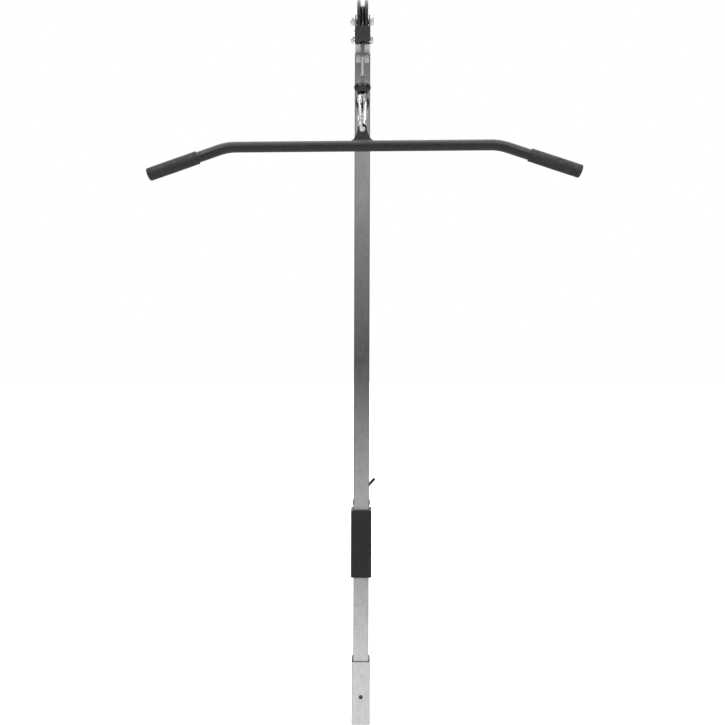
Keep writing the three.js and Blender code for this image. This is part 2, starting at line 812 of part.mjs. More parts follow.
// Pear-shaped snap hook. In its own frame it lies in the Y-Z plane, with its gate on the -Y side.
function buildCarabiner(holder) {
  const w = carabiner.wire / 2;
  const wide = carabiner.wide - w;
  const narrow = carabiner.narrow - w;
  const topCentre = carabiner.top - w - wide;
  const footCentre = carabiner.foot + w + narrow;
  const spine = [
    ...arcYZ(0, topCentre, wide, 165, 0, 10),
    ...arcYZ(0, footCentre, narrow, -5, -180, 9),
  ];
  const gateY = (z) => {
    const t = (z - footCentre) / (topCentre - footCentre);
    return -(narrow + (wide - narrow) * t);
  };
  const stubEnd = new THREE.Vector3(0, gateY(gate.foot - 2), gate.foot - 2);
  const hingeEnd = new THREE.Vector3(0, gateY(gate.pivot + 4), gate.pivot + 4);
  const path = [hingeEnd, ...spine.filter((p) => p.z > hingeEnd.z || p.y > -narrow * 0.95), stubEnd];
  const pin = gate.pin + 2 * gap;
  const pivot = [0, gateY(gate.pivot), gate.pivot];
  const eye = rod(carabiner.eye, 'x', -w, w, pivot, 16);
  const slotHalf = gate.flank + gap;
  const slot = box([-slotHalf, pivot[1] - 9, pivot[2] - 9], [slotHalf, pivot[1] + 9, pivot[2] + 7]);
  add(
    'carabiner_body',
    toGeometry(
      toManifold(wireAlong(path, carabiner.wire, 8))
        .add(toManifold(eye))
        .subtract(toManifold(slot))
        .subtract(toManifold(rod(pin, 'x', -10, 10, pivot, 12))),
    ),
    'zinc',
    holder,
  );
  add('carabiner_pin', rod(gate.pin, 'x', -w, w, pivot, 12), 'steel', holder);

  const foot = new THREE.Vector3(0, gateY(gate.foot), gate.foot);
  const top = new THREE.Vector3(0, gateY(gate.pivot - 10), gate.pivot - 10);
  const tongue = box(
    [-gate.flank, pivot[1] - 3.2, pivot[2] - 12],
    [gate.flank, pivot[1] + 3.2, pivot[2] + 3],
  );
  add(
    'carabiner_gate',
    toGeometry(
      toManifold(wireAlong([foot, top], gate.thick, 10))
        .add(toManifold(tongue))
        .subtract(toManifold(rod(pin, 'x', -10, 10, pivot, 12))),
    ),
    'zinc',
    holder,
  );
}

// ---------------------------------------------------------------- pulldown bar
function buildBar() {
  const holder = new THREE.Group();
  holder.position.set(0, frontRun, bar.z);
  holder.rotation.z = bar.yaw * deg;
  tower.add(holder);

  const tangent = bar.radius * Math.tan((bar.bend * deg) / 2);
  const bendStart = bar.corner - tangent;
  const arcPoints = Array.from({ length: 7 }, (_, i) => {
    const angle = (bar.bend * deg * i) / 6;
    return [bendStart + bar.radius * Math.sin(angle), -bar.radius * (1 - Math.cos(angle))];
  });
  const lastPoint = arcPoints[arcPoints.length - 1];
  const straight = bar.arm - tangent;
  const way = [Math.cos(bar.bend * deg), -Math.sin(bar.bend * deg)];
  const along = (distance) => [lastPoint[0] + way[0] * distance, lastPoint[1] + way[1] * distance];
  const barEnd = along(straight - grip.end - gap);
  const side = [...arcPoints, barEnd];
  const path = [
    ...side.map(([x, z]) => new THREE.Vector3(-x, 0, z)).reverse(),
    ...side.map(([x, z]) => new THREE.Vector3(x, 0, z)),
  ];
  const bore = extendEnds(path, 4);
  add(
    'lat_bar_tube',
    cut(wireAlong(path, bar.thick, 16), wireAlong(bore, bar.thick - 2 * bar.wall, 10)),
    'black',
    holder,
  );

  const gripRoot = along(straight - grip.length);
  const gripTip = along(straight);
  ['left', 'right'].forEach((name, i) => {
    const s = i ? 1 : -1;
    const sleeve = gripBody();
    const mesh = add(`${name}_grip`, sleeve, 'rubber', holder);
    mesh.position.set(s * gripTip[0], 0, gripTip[1]);
    const dir = new THREE.Vector3(s * (gripTip[0] - gripRoot[0]), 0, gripTip[1] - gripRoot[1]).normalize();
    mesh.quaternion.setFromUnitVectors(new THREE.Vector3(0, 1, 0), dir);
  });

  const rest = bar.thick / 2 + gap;
  const crown = lug.crown / 2;
  const shape = new THREE.Shape();
  const crownZ = lug.top - bar.z - crown;
  shape.moveTo(-lug.base / 2, rest);
  shape.lineTo(lug.base / 2, rest);
  shape.quadraticCurveTo(crown + 4, rest + 8, crown, crownZ);
  shape.absarc(0, crownZ, crown, 0, 180 * deg, false);
  shape.quadraticCurveTo(-crown - 4, rest + 8, -lug.base / 2, rest);
  const hole = rod(lug.hole, 'y', -lug.plate, lug.plate, [0, 0, lug.holeZ - bar.z], 20);
  add('bar_lug', cut(plateXZ(shape, lug.plate), hole), 'black', holder);
}

function extendEnds(points, distance) {
  const stretch = (end, next) => end.clone().addScaledVector(end.clone().sub(next).normalize(), distance);
  const last = points.length - 1;
  return [stretch(points[0], points[1]), ...points.slice(1, last), stretch(points[last], points[last - 1])];
}

// Closed-end sleeve of rubber, hanging back along -Y from its tip.
function gripBody() {
  const outer = grip.thick / 2;
  const bore = bar.thick / 2 + gap;
  const profile = [
    [0, 0],
    [outer - 2.5, 0],
    [outer, -2.5],
    [outer, -grip.length + 1.5],
    [outer - 1.5, -grip.length],
    [bore, -grip.length],
    [bore, -grip.end],
    [0, -grip.end],
    [0, 0],
  ];
  return turned(profile, 'y', [0, 0, 0], 20);
}

buildUpright();
buildBoom();
buildPulley('front', pulley.front);
buildPulley('rear', pulley.rear);
buildCable();
buildCarriage();
buildHook();
buildBar();

export default tower;
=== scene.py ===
"""Looks of a lat pulldown tower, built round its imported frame. Shapes are given in millimetres."""
import json
import math

import bpy
from mathutils import Matrix, Vector

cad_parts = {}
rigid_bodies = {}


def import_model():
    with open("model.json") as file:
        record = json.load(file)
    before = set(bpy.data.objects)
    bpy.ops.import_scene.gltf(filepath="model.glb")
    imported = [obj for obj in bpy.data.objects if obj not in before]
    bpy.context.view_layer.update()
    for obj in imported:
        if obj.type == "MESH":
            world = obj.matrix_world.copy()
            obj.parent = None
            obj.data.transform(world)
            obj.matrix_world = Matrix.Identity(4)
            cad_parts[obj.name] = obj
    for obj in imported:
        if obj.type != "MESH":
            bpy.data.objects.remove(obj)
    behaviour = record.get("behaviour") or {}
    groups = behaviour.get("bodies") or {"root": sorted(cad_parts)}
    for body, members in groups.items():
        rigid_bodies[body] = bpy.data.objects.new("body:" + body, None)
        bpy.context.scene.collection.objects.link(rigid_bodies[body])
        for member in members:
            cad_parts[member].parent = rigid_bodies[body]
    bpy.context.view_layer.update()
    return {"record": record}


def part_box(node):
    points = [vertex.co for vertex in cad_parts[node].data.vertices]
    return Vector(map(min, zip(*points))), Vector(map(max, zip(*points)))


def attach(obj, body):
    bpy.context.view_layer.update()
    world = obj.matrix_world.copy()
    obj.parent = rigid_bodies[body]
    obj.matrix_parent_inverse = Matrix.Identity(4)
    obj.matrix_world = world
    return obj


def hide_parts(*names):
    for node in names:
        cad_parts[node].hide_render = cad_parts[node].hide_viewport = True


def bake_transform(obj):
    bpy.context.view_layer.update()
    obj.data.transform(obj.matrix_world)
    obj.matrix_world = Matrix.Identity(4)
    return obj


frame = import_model()

MM = 0.001
GAP = 0.3  # between pieces that touch

# Sizes and heights that the frame's boxes don't give, in mm.
TUBE_WALL = 2
PIN_HOLE, PIN_HOLE_Z = 10, 68
CABLE_RADIUS = 2.5
AXLE_HOLE, AXLE_FLATS, AXLE_HEAD = 10.6, 17, 6.4
HORN_RADIUS, HORN_LENGTH, HORN_ROOT_Z = 14, 323.3, 485
ARM_EYE_Z, ARM_EYE_RADIUS = 560, 13
GATE_FOOT_Z, GATE_PIVOT_Z = 1447, 1492
BAR_Z, BAR_RADIUS, LUG_HOLE_Z = 1390, 12.5, 1429.5

SLOT_OF = {s["node"]: s["material_slot"] for s in frame["record"]["subparts"]}
BODY_OF = {n: b for b, nodes in frame["record"]["behaviour"]["bodies"].items() for n in nodes}


def corners(node):
    """Lowest and highest corner of a CAD node, in mm."""
    low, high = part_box(node)
    return low / MM, high / MM


def middle(node):
    low, high = corners(node)
    return (low + high) / 2


# ------------------------------------------------------------------ materials


class Shader:
    """A small helper that builds one Principled material."""

    def __init__(self, name, colour, metallic, roughness):
        self.material = bpy.data.materials.new(name)
        self.material.use_nodes = True
        self.nodes = self.material.node_tree.nodes
        self.links = self.material.node_tree.links
        self.bsdf = self.nodes["Principled BSDF"]
        self.bsdf.inputs["Base Color"].default_value = (*colour, 1)
        self.bsdf.inputs["Metallic"].default_value = metallic
        self.bsdf.inputs["Roughness"].default_value = roughness
        self.place = self.nodes.new("ShaderNodeTexCoord").outputs["Object"]
        self.normal = None

    def noise(self, scale, detail=4.0, stretch=(1, 1, 1), roughness=0.5, distortion=0.0):
        mapping = self.nodes.new("ShaderNodeMapping")
        mapping.inputs["Scale"].default_value = stretch
        self.links.new(self.place, mapping.inputs["Vector"])
        node = self.nodes.new("ShaderNodeTexNoise")
        node.inputs["Scale"].default_value = scale
        node.inputs["Detail"].default_value = detail
        node.inputs["Roughness"].default_value = roughness
        node.inputs["Distortion"].default_value = distortion
        self.links.new(mapping.outputs["Vector"], node.inputs["Vector"])
        return node.outputs["Fac"]

    def bump(self, height, distance_mm, strength=1.0):
        node = self.nodes.new("ShaderNodeBump")
        node.inputs["Strength"].default_value = strength
        node.inputs["Distance"].default_value = distance_mm * MM
        self.links.new(height, node.inputs["Height"])
        if self.normal:
            self.links.new(self.normal, node.inputs["Normal"])
        self.normal = node.outputs["Normal"]
        self.links.new(self.normal, self.bsdf.inputs["Normal"])

    def paint_shade_inside(self, reach_mm):
        """Paints shade into the colour where the surface is shut in: a painted shade, darker the more
        enclosed the surface is.
        """
        node = self.nodes.new("ShaderNodeAmbientOcclusion")
        node.samples = 8
        node.inputs["Distance"].default_value = reach_mm * MM
        self.links.new(self.bsdf.inputs["Base Color"].links[0].from_socket, node.inputs["Color"])
        self.links.new(node.outputs["Color"], self.bsdf.inputs["Base Color"])

    def vary(self, socket, factor, low, high, start=0.35, stop=0.65):
        node = self.nodes.new("ShaderNodeMapRange")
        node.inputs["From Min"].default_value = start
        node.inputs["From Max"].default_value = stop
        node.inputs["To Min"].default_value = low
        node.inputs["To Max"].default_value = high
        self.links.new(factor, node.inputs["Value"])
        self.links.new(node.outputs["Result"], self.bsdf.inputs[socket])

    def tint(self, factor, stops):
        ramp = self.nodes.new("ShaderNodeValToRGB")
        elements = ramp.color_ramp.elements
        while len(elements) < len(stops):
            elements.new(0.5)
        for element, (place, colour) in zip(elements, stops):
            element.position = place
            element.color = (*colour, 1)
        self.links.new(factor, ramp.inputs["Fac"])
        self.links.new(ramp.outputs["Color"], self.bsdf.inputs["Base Color"])


def grey(value):
    return (value, value, value * 1.01)


def chrome_material(name="chrome plate", dull=0.66, bright=0.78):
    """Chrome plate, with painted shade where it is shut in, as inside a tube."""
    s = Shader(name, grey(bright), 1.0, 0.12)
    s.bump(s.noise(26, 2, (1, 1, 0.5)), 0.03)
    s.bump(s.noise(150, 2, (1, 1, 0.6), 0.5, 0.8), 0.008)
    s.vary("Roughness", s.noise(60, 6, (1, 1, 0.5), 0.65), 0.06, 0.15)
    s.tint(s.noise(85, 7, (1, 1, 0.6), 0.75, 0.6), [(0.30, grey(dull)), (0.55, grey(bright))])
    # painted shade: darkens the chrome's colour inside tubes and holes, within 30 mm
    s.paint_shade_inside(30)
    return s.material


def zinc_material():
    s = Shader("bright zinc", grey(0.9), 0.85, 0.3)
    s.vary("Roughness", s.noise(260, 4), 0.22, 0.4)
    s.tint(s.noise(420, 4), [(0.35, grey(0.84)), (0.65, grey(0.94))])
    s.bump(s.noise(700, 3), 0.02)
    return s.material


def ferrule_material():
    s = Shader("dull pressed sleeve", grey(0.3), 0.9, 0.42)
    s.vary("Roughness", s.noise(260, 4), 0.36, 0.5)
    s.bump(s.noise(500, 3), 0.02)
    return s.material


def steel_material():
    s = Shader("plain steel", grey(0.55), 1.0, 0.38)
    s.vary("Roughness", s.noise(300, 5), 0.28, 0.48)
    s.tint(s.noise(180, 5), [(0.3, grey(0.42)), (0.7, grey(0.62))])
    s.bump(s.noise(900, 3), 0.02)
    return s.material


def powder_coat_material():
    s = Shader("satin black powder coat", grey(0.01), 0.0, 0.42)
    s.bsdf.inputs["Specular IOR Level"].default_value = 0.5
    s.vary("Roughness", s.noise(120, 5), 0.34, 0.48)
    s.tint(s.noise(90, 6, roughness=0.65), [(0.3, grey(0.007)), (0.68, grey(0.014))])
    s.bump(s.noise(1300, 2), 0.05)
    s.bump(s.noise(30, 2), 0.08)
    return s.material


def nylon_material():
    s = Shader("black moulded nylon", grey(0.018), 0.0, 0.26)
    s.vary("Roughness", s.noise(150, 4), 0.2, 0.34)
    s.tint(s.noise(110, 4), [(0.3, grey(0.014)), (0.7, grey(0.023))])
    s.bump(s.noise(1500, 2), 0.02)
    return s.material


def rubber_material():
    s = Shader("black rubber", grey(0.014), 0.0, 0.62)
    s.vary("Roughness", s.noise(90, 5), 0.52, 0.75)
    s.tint(s.noise(60, 6, roughness=0.7), [(0.3, grey(0.01)), (0.7, grey(0.024))])
    s.bump(s.noise(620, 4), 0.12)
    return s.material


def cable_material():
    """Steel strand seen through a thin smoky coating: the strands lie in a helix round the cable."""
    s = Shader("coated steel cable", grey(0.05), 0.0, 0.4)
    s.bsdf.inputs["Coat Weight"].default_value = 0.2
    s.bsdf.inputs["Coat Roughness"].default_value = 0.18
    wave = s.nodes.new("ShaderNodeTexWave")
    wave.wave_type = "BANDS"
    wave.bands_direction = "DIAGONAL"
    wave.inputs["Scale"].default_value = 190
    wave.inputs["Distortion"].default_value = 0.4
    s.links.new(s.place, wave.inputs["Vector"])
    s.tint(wave.outputs["Fac"], [(0.15, grey(0.02)), (0.7, grey(0.07))])
    s.bump(wave.outputs["Fac"], 0.08)
    return s.material


MATERIALS = {
    "chrome_tube": chrome_material(),
    "zinc_plate": zinc_material(),
    "bare_steel": steel_material(),
    "black_powder_coat": powder_coat_material(),
    "black_nylon": nylon_material(),
    "black_rubber": rubber_material(),
    "coated_cable": cable_material(),
}

# ------------------------------------------------------------------ mesh helpers

PLANES = {
    "xy": Matrix.Identity(4),
    "xz": Matrix(((1, 0, 0, 0), (0, 0, -1, 0), (0, 1, 0, 0), (0, 0, 0, 1))),
    "yz": Matrix(((0, 0, 1, 0), (1, 0, 0, 0), (0, 1, 0, 0), (0, 0, 0, 1))),
}
AXES = {
    "z": Matrix.Identity(4),
    "x": Matrix(((0, 0, 1, 0), (1, 0, 0, 0), (0, 1, 0, 0), (0, 0, 0, 1))),
    "y": Matrix(((0, 1, 0, 0), (0, 0, 1, 0), (1, 0, 0, 0), (0, 0, 0, 1))),
}


def finish_mesh(mesh, angle=35):
    for polygon in mesh.polygons:
        polygon.use_smooth = True
    mesh.set_sharp_from_angle(angle=math.radians(angle))


def new_object(name, points, faces, matrix=None, angle=35):
    """An object from points in mm."""
    mesh = bpy.data.meshes.new(name)
    mesh.from_pydata([tuple(p) for p in points], [], faces)
    mesh.transform(Matrix.Scale(MM, 4) @ (matrix or Matrix.Identity(4)))
    mesh.validate()
    obj = bpy.data.objects.new(name, mesh)
    bpy.context.scene.collection.objects.link(obj)
    finish_mesh(mesh, angle)
    return obj


def bake(obj, angle=35):
    """Applies an object's modifiers, or turns a curve into a mesh."""
    graph = bpy.context.evaluated_depsgraph_get()
    mesh = bpy.data.meshes.new_from_object(obj.evaluated_get(graph))
    name, old = obj.name, obj
    made = bpy.data.objects.new(name, mesh)
    bpy.context.scene.collection.objects.link(made)
    made.matrix_world = old.matrix_world.copy()
    bpy.data.objects.remove(old)
    made.name = name
    finish_mesh(mesh, angle)
    return made


def combine(obj, other, operation="DIFFERENCE"):
    """Cuts, joins or intersects two objects, and removes the second."""
    modifier = obj.modifiers.new("bool", "BOOLEAN")
    modifier.operation = operation
    modifier.object = other
    modifier.solver = "EXACT"
    made = bake(obj)
    bpy.data.objects.remove(other)
    return made


def soften(obj, width, segments=2, limit=40):
    """Rounds the sharp edges of an object."""
    modifier = obj.modifiers.new("edge", "BEVEL")
    modifier.width = width * MM
    modifier.segments = segments
    modifier.limit_method = "ANGLE"
    modifier.angle_limit = math.radians(limit)
    modifier.harden_normals = False
    return bake(obj)


def merged(objects, name):
    """One object from several, without cutting them."""
    points, faces = [], []
    for o in objects:
        base = len(points)
        points += [o.matrix_world @ v.co for v in o.data.vertices]
        faces += [[base + i for i in p.vertices] for p in o.data.polygons]
        bpy.data.objects.remove(o)
    return new_object(name, [p / MM for p in points], faces)


def fillet(points, radius, steps=4, closed=True):
    """Rounds the corners of a 2-D outline. radius is one number or one for each corner."""
    count = len(points)
    out = []
    for i, corner in enumerate(points):
        r = radius[i] if isinstance(radius, (list, tuple)) else radius
        ends = not closed and i in (0, count - 1)
        if ends or r <= 0:
            out.append(tuple(corner))
            continue
        here = Vector(corner)
        before = Vector(points[i - 1]) - here
        after = Vector(points[(i + 1) % count]) - here
        if before.length < 1e-6 or after.length < 1e-6:
            out.append(tuple(corner))
            continue
        reach = min(r, before.length * 0.48, after.length * 0.48)
        start, stop = here + before.normalized() * reach, here + after.normalized() * reach
        for k in range(steps + 1):
            t = k / steps
            out.append(tuple(start * (1 - t) ** 2 + here * (2 * t * (1 - t)) + stop * t * t))
    return out


def arc(centre, radius, start, stop, steps):
    """Points of an arc in the drawing plane, angles in degrees."""
    angles = [math.radians(start + (stop - start) * i / steps) for i in range(steps + 1)]
    return [(centre[0] + radius * math.cos(a), centre[1] + radius * math.sin(a)) for a in angles]


def rounded_square(side, corner, steps=6):
    h = side / 2 - corner
    out = []
    for x, y, start in ((h, h, 0), (-h, h, 90), (-h, -h, 180), (h, -h, 270)):
        out += arc((x, y), corner, start, start + 90, steps)
    return out


def plate(name, outline, low, high, plane="xy", holes=(), edge=0.4, segments=3):
    """A flat piece with rounded edges, drawn in a plane, between two places across it, in mm."""
    curve = bpy.data.curves.new(name, "CURVE")
    curve.dimensions = "2D"
    curve.fill_mode = "BOTH"
    curve.extrude = (high - low) / 2 - edge
    curve.bevel_depth = edge
    curve.bevel_resolution = segments
    curve.offset = -edge
    for loop in (outline, *holes):
        spline = curve.splines.new("POLY")
        spline.points.add(len(loop) - 1)
        for point, (x, y) in zip(spline.points, loop):
            point.co = (x, y, 0, 1)
        spline.use_cyclic_u = True
    obj = bpy.data.objects.new(name, curve)
    bpy.context.scene.collection.objects.link(obj)
    made = bake(obj)
    made.data.transform(Matrix.Translation((0, 0, (low + high) / 2)))
    if plane == "xz":
        made.data.transform(Matrix.Translation((0, 0, -(low + high))))
    made.data.transform(Matrix.Scale(MM, 4) @ PLANES[plane])
    return weld(made)


def weld(obj):
    """Merges points that coincide, which a filled curve leaves."""
    modifier = obj.modifiers.new("weld", "WELD")
    modifier.merge_threshold = 1e-6
    return bake(obj)


def lathe(name, profile, axis="z", centre=(0, 0, 0), segments=64, closed=True, edge=0.0, matrix=None):
    """A turned piece from [radius, height] points. A closed profile makes a ring."""
    points2 = fillet(profile, edge, 3, closed) if edge else [tuple(p) for p in profile]
    points, rings = [], []
    for radius, height in points2:
        if radius < 1e-6:
            rings.append([len(points)])
            points.append((0, 0, height))
            continue
        rings.append(list(range(len(points), len(points) + segments)))
        for k in range(segments):
            a = 2 * math.pi * k / segments
            points.append((radius * math.cos(a), radius * math.sin(a), height))
    faces = []
    pairs = list(zip(rings, rings[1:])) + ([(rings[-1], rings[0])] if closed else [])
    for a, b in pairs:
        for k in range(segments):
            n = (k + 1) % segments
            quad = [a[k % len(a)], a[n % len(a)], b[n % len(b)], b[k % len(b)]]
            face = list(dict.fromkeys(quad))
            if len(face) > 2:
                faces.append(face)
    area = sum(a[0] * b[1] - b[0] * a[1] for a, b in zip(points2, points2[1:] + points2[:1]))
    if area < 0:
        faces = [f[::-1] for f in faces]
    place = Matrix.Translation(centre) @ AXES[axis]
    return new_object(name, points, faces, (matrix or Matrix.Identity(4)) @ place)


def sweep(name, path, radius, sides=20, matrix=None, closed=False, taper=None, edge=0.3):
    """A round bar along a path. taper gives the radius at each point instead."""
    path = [Vector(p) for p in path]
    count = len(path)
    tangents = []
    for i in range(count):
        if closed:
            ahead, behind = path[(i + 1) % count], path[i - 1]
        else:
            ahead, behind = path[min(i + 1, count - 1)], path[max(i - 1, 0)]
        tangents.append((ahead - behind).normalized())
    side = tangents[0].orthogonal().normalized()
    points, rings = [], []

    def ring(centre, across, along, size):
        up = along.cross(across)
        rings.append(list(range(len(points), len(points) + sides)))
        for k in range(sides):
            a = 2 * math.pi * k / sides
            points.append(centre + (across * math.cos(a) + up * math.sin(a)) * size)

    for i, (centre, along) in enumerate(zip(path, tangents)):
        if i:
            side = tangents[i - 1].rotation_difference(along) @ side
        side = (side - along * side.dot(along)).normalized()
        size = taper[i] if taper else radius
        if not closed and i == 0:
            ring(centre, side, along, size - edge)
            ring(centre + along * edge * 0.3, side, along, size - edge * 0.3)
            ring(centre + along * edge, side, along, size)
        elif not closed and i == count - 1:
            ring(centre - along * edge, side, along, size)
            ring(centre - along * edge * 0.3, side, along, size - edge * 0.3)
            ring(centre, side, along, size - edge)
        else:
            ring(centre, side, along, size)
    faces = []
    pairs = list(zip(rings, rings[1:])) + ([(rings[-1], rings[0])] if closed else [])
    for a, b in pairs:
        faces += [[a[k], a[(k + 1) % sides], b[(k + 1) % sides], b[k]] for k in range(sides)]
    if not closed:
        faces += [rings[0][::-1], rings[-1]]
    return new_object(name, points, faces, matrix)


def block(name, low, high):
    """A box between two corners, for cutting."""
    (a, b, c), (x, y, z) = low, high
    points = [(a, b, c), (x, b, c), (x, y, c), (a, y, c), (a, b, z), (x, b, z), (x, y, z), (a, y, z)]
    faces = [(3, 2, 1, 0), (4, 5, 6, 7), (0, 1, 5, 4), (1, 2, 6, 5), (2, 3, 7, 6), (3, 0, 4, 7)]
    return new_object(name, points, faces)


def drill(obj, thick, axis, low, high, centre=(0, 0, 0)):
    """A round hole."""
    profile = [(0, low), (thick / 2, low), (thick / 2, high), (0, high)]
    return combine(obj, lathe("drill", profile, axis, centre, 48, closed=False))


def flatten_faces(obj):
    """Gives large faces their true normals, so that flat steel reflects as flat steel."""
    modifier = obj.modifiers.new("normals", "WEIGHTED_NORMAL")
    modifier.keep_sharp = True
    graph = bpy.context.evaluated_depsgraph_get()
    obj.data = bpy.data.meshes.new_from_object(obj.evaluated_get(graph))
    obj.modifiers.clear()


def place(obj, body, slot, *nodes, blend=None, material=None):
    """Hides the CAD nodes an object stands for, gives it its finish and attaches it to the body it rides on;
    a blended piece is only baked in its world place.
    """
    flatten_faces(obj)
    obj.data.materials.clear()
    obj.data.materials.append(material or MATERIALS[slot])
    if blend:
        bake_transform(obj)
    else:
        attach(obj, body)
    if nodes:
        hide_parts(*nodes)
    return obj


def stand_for(obj, node, material=None):
    """An object that takes one CAD node's place, body and finish."""
    return place(obj, BODY_OF[node], SLOT_OF[node], node, material=material)


# ------------------------------------------------------------------ base, post and boom


def build_base():
    low, high = corners("base_stub")
    side = high.x - low.x
    inner = [rounded_square(side - 2 * TUBE_WALL, 1.2)]
    stub = plate("base_tube", rounded_square(side, 3), low.z, high.z, "xy", inner, 0.5)
    stand_for(drill(stub, PIN_HOLE, "y", -side, side, (0, 0, PIN_HOLE_Z)), "base_stub")

    low, high = corners("stub_shim")
    outer, wall = high.x - low.x, 0.8
    inner = [rounded_square(outer - 2 * wall, 3)]
    shim = plate("shim_sleeve", rounded_square(outer, 3.6), low.z, high.z, "xy", inner, 0.2)
    stand_for(shim, "stub_shim")

    low, high = corners("upright_post")
    side = high.x - low.x
    inner = [rounded_square(side - 2 * TUBE_WALL, 1.2)]
    post = plate("post_tube", rounded_square(side, 3.2, 8), low.z, high.z, "xy", inner, 0.4)
    post = drill(post, PIN_HOLE, "y", -side, side, (0, 0, PIN_HOLE_Z))
    screw, screw_hole = middle("spigot_screw"), 8.6
    post = drill(post, screw_hole, "y", 0, side, (0, 0, screw.z))
    stand_for(post, "upright_post")

    low, high = corners("boom_spigot")
    side, wall = high.x - low.x, 3
    inner = [rounded_square(side - 2 * wall, 1)]
    stand_for(plate("spigot_tube", rounded_square(side, 2), low.z, high.z, "xy", inner, 0.3), "boom_spigot")

    back = corners("upright_post")[1].y
    dome = [(0, 2.2), (0, GAP), (7, GAP), (7, 1.5), (5.2, 3.6), (3, 4.5)]
    dome = [(radius, back + rise) for radius, rise in dome]
    head = lathe("screw_head", dome, "y", (0, 0, screw.z), 48, edge=0.6)
    low, high = corners("spigot_screw")
    shank = sweep("screw_shank", straight_path((0, low.y, screw.z), (0, back, screw.z)), 4, 24)
    socket = plate("socket", arc((0, 0), 2.6, 0, 300, 5), back + 2.4, back + 6, "xz", (), 0.05, 0)
    socket.data.transform(Matrix.Translation((0, 0, screw.z * MM)))
    head = combine(head, socket)
    stand_for(merged([head, shank], "boom_screw"), "spigot_screw")

    low, high = corners("carriage_stop_pin")
    at = (0, 0, (low.z + high.z) / 2)
    collar_start, collar_stop = back + GAP, back + 1.8
    pin = [(0, low.y), (4, low.y), (4, collar_start), (5.5, collar_start)]
    pin += [(5.5, collar_stop), (4, collar_stop), (4, high.y), (0, high.y)]
    stand_for(lathe("stop_pin", pin, "y", at, 48, closed=False, edge=0.5), "carriage_stop_pin")


def straight_path(start, stop, steps=8):
    a, b = Vector(start), Vector(stop)
    return [a.lerp(b, i / steps) for i in range(steps + 1)]


def build_boom():
    low, high = corners("boom_tube")
    side = high.x - low.x
    axis_z = (low.z + high.z) / 2
    outer, inner = rounded_square(side, 3.2, 8), rounded_square(side - 2 * TUBE_WALL, 1.2)
    boom = plate("boom", outer, low.y, high.y, "xz", [inner], 0.4)
    boom.data.transform(Matrix.Translation((0, 0, axis_z * MM)))
    for pulley in ("front_pulley", "rear_pulley"):
        p_low, p_high = corners(pulley)
        centre = (p_low + p_high) / 2
        radius = (p_high.z - p_low.z) / 2
        dip = math.sqrt(radius**2 - (centre.z - high.z) ** 2) + 3
        front = pulley.startswith("front")
        start = low.y - 5 if front else centre.y - dip
        stop = centre.y + dip if front else high.y + 5
        wide = (p_high.x - p_low.x) / 2 + 1
        boom = combine(boom, block("slot", (-wide, start, high.z - 3), (wide, stop, high.z + 3)))
        run = middle("cable_front_run" if front else "cable_rear_run").y
        start, stop = (low.y - 5, run + 9) if front else (run - 9, high.y + 5)
        boom = combine(boom, block("way", (-5, start, low.z - 3), (5, stop, low.z + 3)))
    # painted light: the boom's chrome is a brighter copy of the post's (tint 0.78 to 0.88), so its underside
    # reads whiter
    stand_for(boom, "boom_tube", chrome_material("boom chrome with painted light", 0.78, 0.88))


def build_fork(node, name):
    """A bent plate: a web over the boom's end and two ears that hold the axle."""
    low, high = corners(node)
    pulley = middle(node.replace("fork", "pulley"))
    side = -1 if node.startswith("front") else 1
    half, thick, notch = high.x, 3, 7
    end = low.y if side < 0 else high.y
    foot, web_top = low.z, low.z + 43.5
    eye, boom_top = 15, corners("boom_tube")[1].z + GAP
    left = [(-half + 3, foot), (-half, foot + 6), (-half, web_top)]
    outline = left + [(-x, z) for x, z in reversed(left)]
    outline += arc((0, foot), notch, 0, 180, 14)
    inside = end - side * thick
    web = plate("web", outline, min(end, inside), max(end, inside), "xz", (), 0.35)
    lean = math.degrees(math.atan2(pulley.z - web_top, abs(end - pulley.y)))
    rim = [(end, boom_top), (end, web_top)]
    if side < 0:
        bow = arc((pulley.y, pulley.z), eye, 180 - (90 - lean) - 20, 0, 28)
    else:
        bow = arc((pulley.y, pulley.z), eye, 90 - lean + 20, 180, 28)
    rim += bow + [(pulley.y - side * eye, boom_top)]
    parts = [web]
    for s in (-1, 1):
        a, b = sorted((s * half, s * (half - thick)))
        parts.append(plate("ear", rim, a, b, "yz", (), 0.35))
    fork = combine(combine(parts[0], parts[1], "UNION"), parts[2], "UNION")
    fork = drill(fork, AXLE_HOLE, "x", -half - 2, half + 2, (0, pulley.y, pulley.z))
    fork.name = name
    stand_for(fork, node)


def build_pulley(prefix):
    low, high = corners(f"{prefix}_pulley")
    centre = (low + high) / 2
    outer, half = (high.z - low.z) / 2, (high.x - low.x) / 2
    root, bore = 29.7, 13.3
    groove = [(outer, 6.6), (outer - 1, 5.4), (root + 3.2, 4.2), (root + 0.6, 2.6), (root, 0)]
    hub = [(bore, half), (19, half), (20.5, half - 4)]
    rim = [(36, half - 4), (37.5, half), (outer - 2.2, half), (outer, half - 2)]
    side = hub + rim + groove[:-1]
    mirrored = [(r, -h) for r, h in reversed(side)]
    wheel = lathe(f"{prefix}_sheave", side + [groove[-1]] + mirrored, "x", centre, 96, edge=0.7)
    ribs = []
    for s in (-1, 1):
        for k in range(8):
            a = k * math.pi / 4
            rib = block("rib", (19.4, -1.3, -1.9), (37, 1.3, 1.9))
            rib = soften(rib, 0.5)
            rib.data.transform(
                Matrix.Translation((s * (half - 2.6) * MM, centre.y * MM, centre.z * MM))
                @ AXES["x"]
                @ Matrix.Rotation(a, 4, "Z")
            )
            ribs.append(rib)
    wheel = merged([wheel, *ribs], f"{prefix}_sheave")
    stand_for(wheel, f"{prefix}_pulley")
    build_bearing(prefix, centre)
    build_axle(prefix, centre)


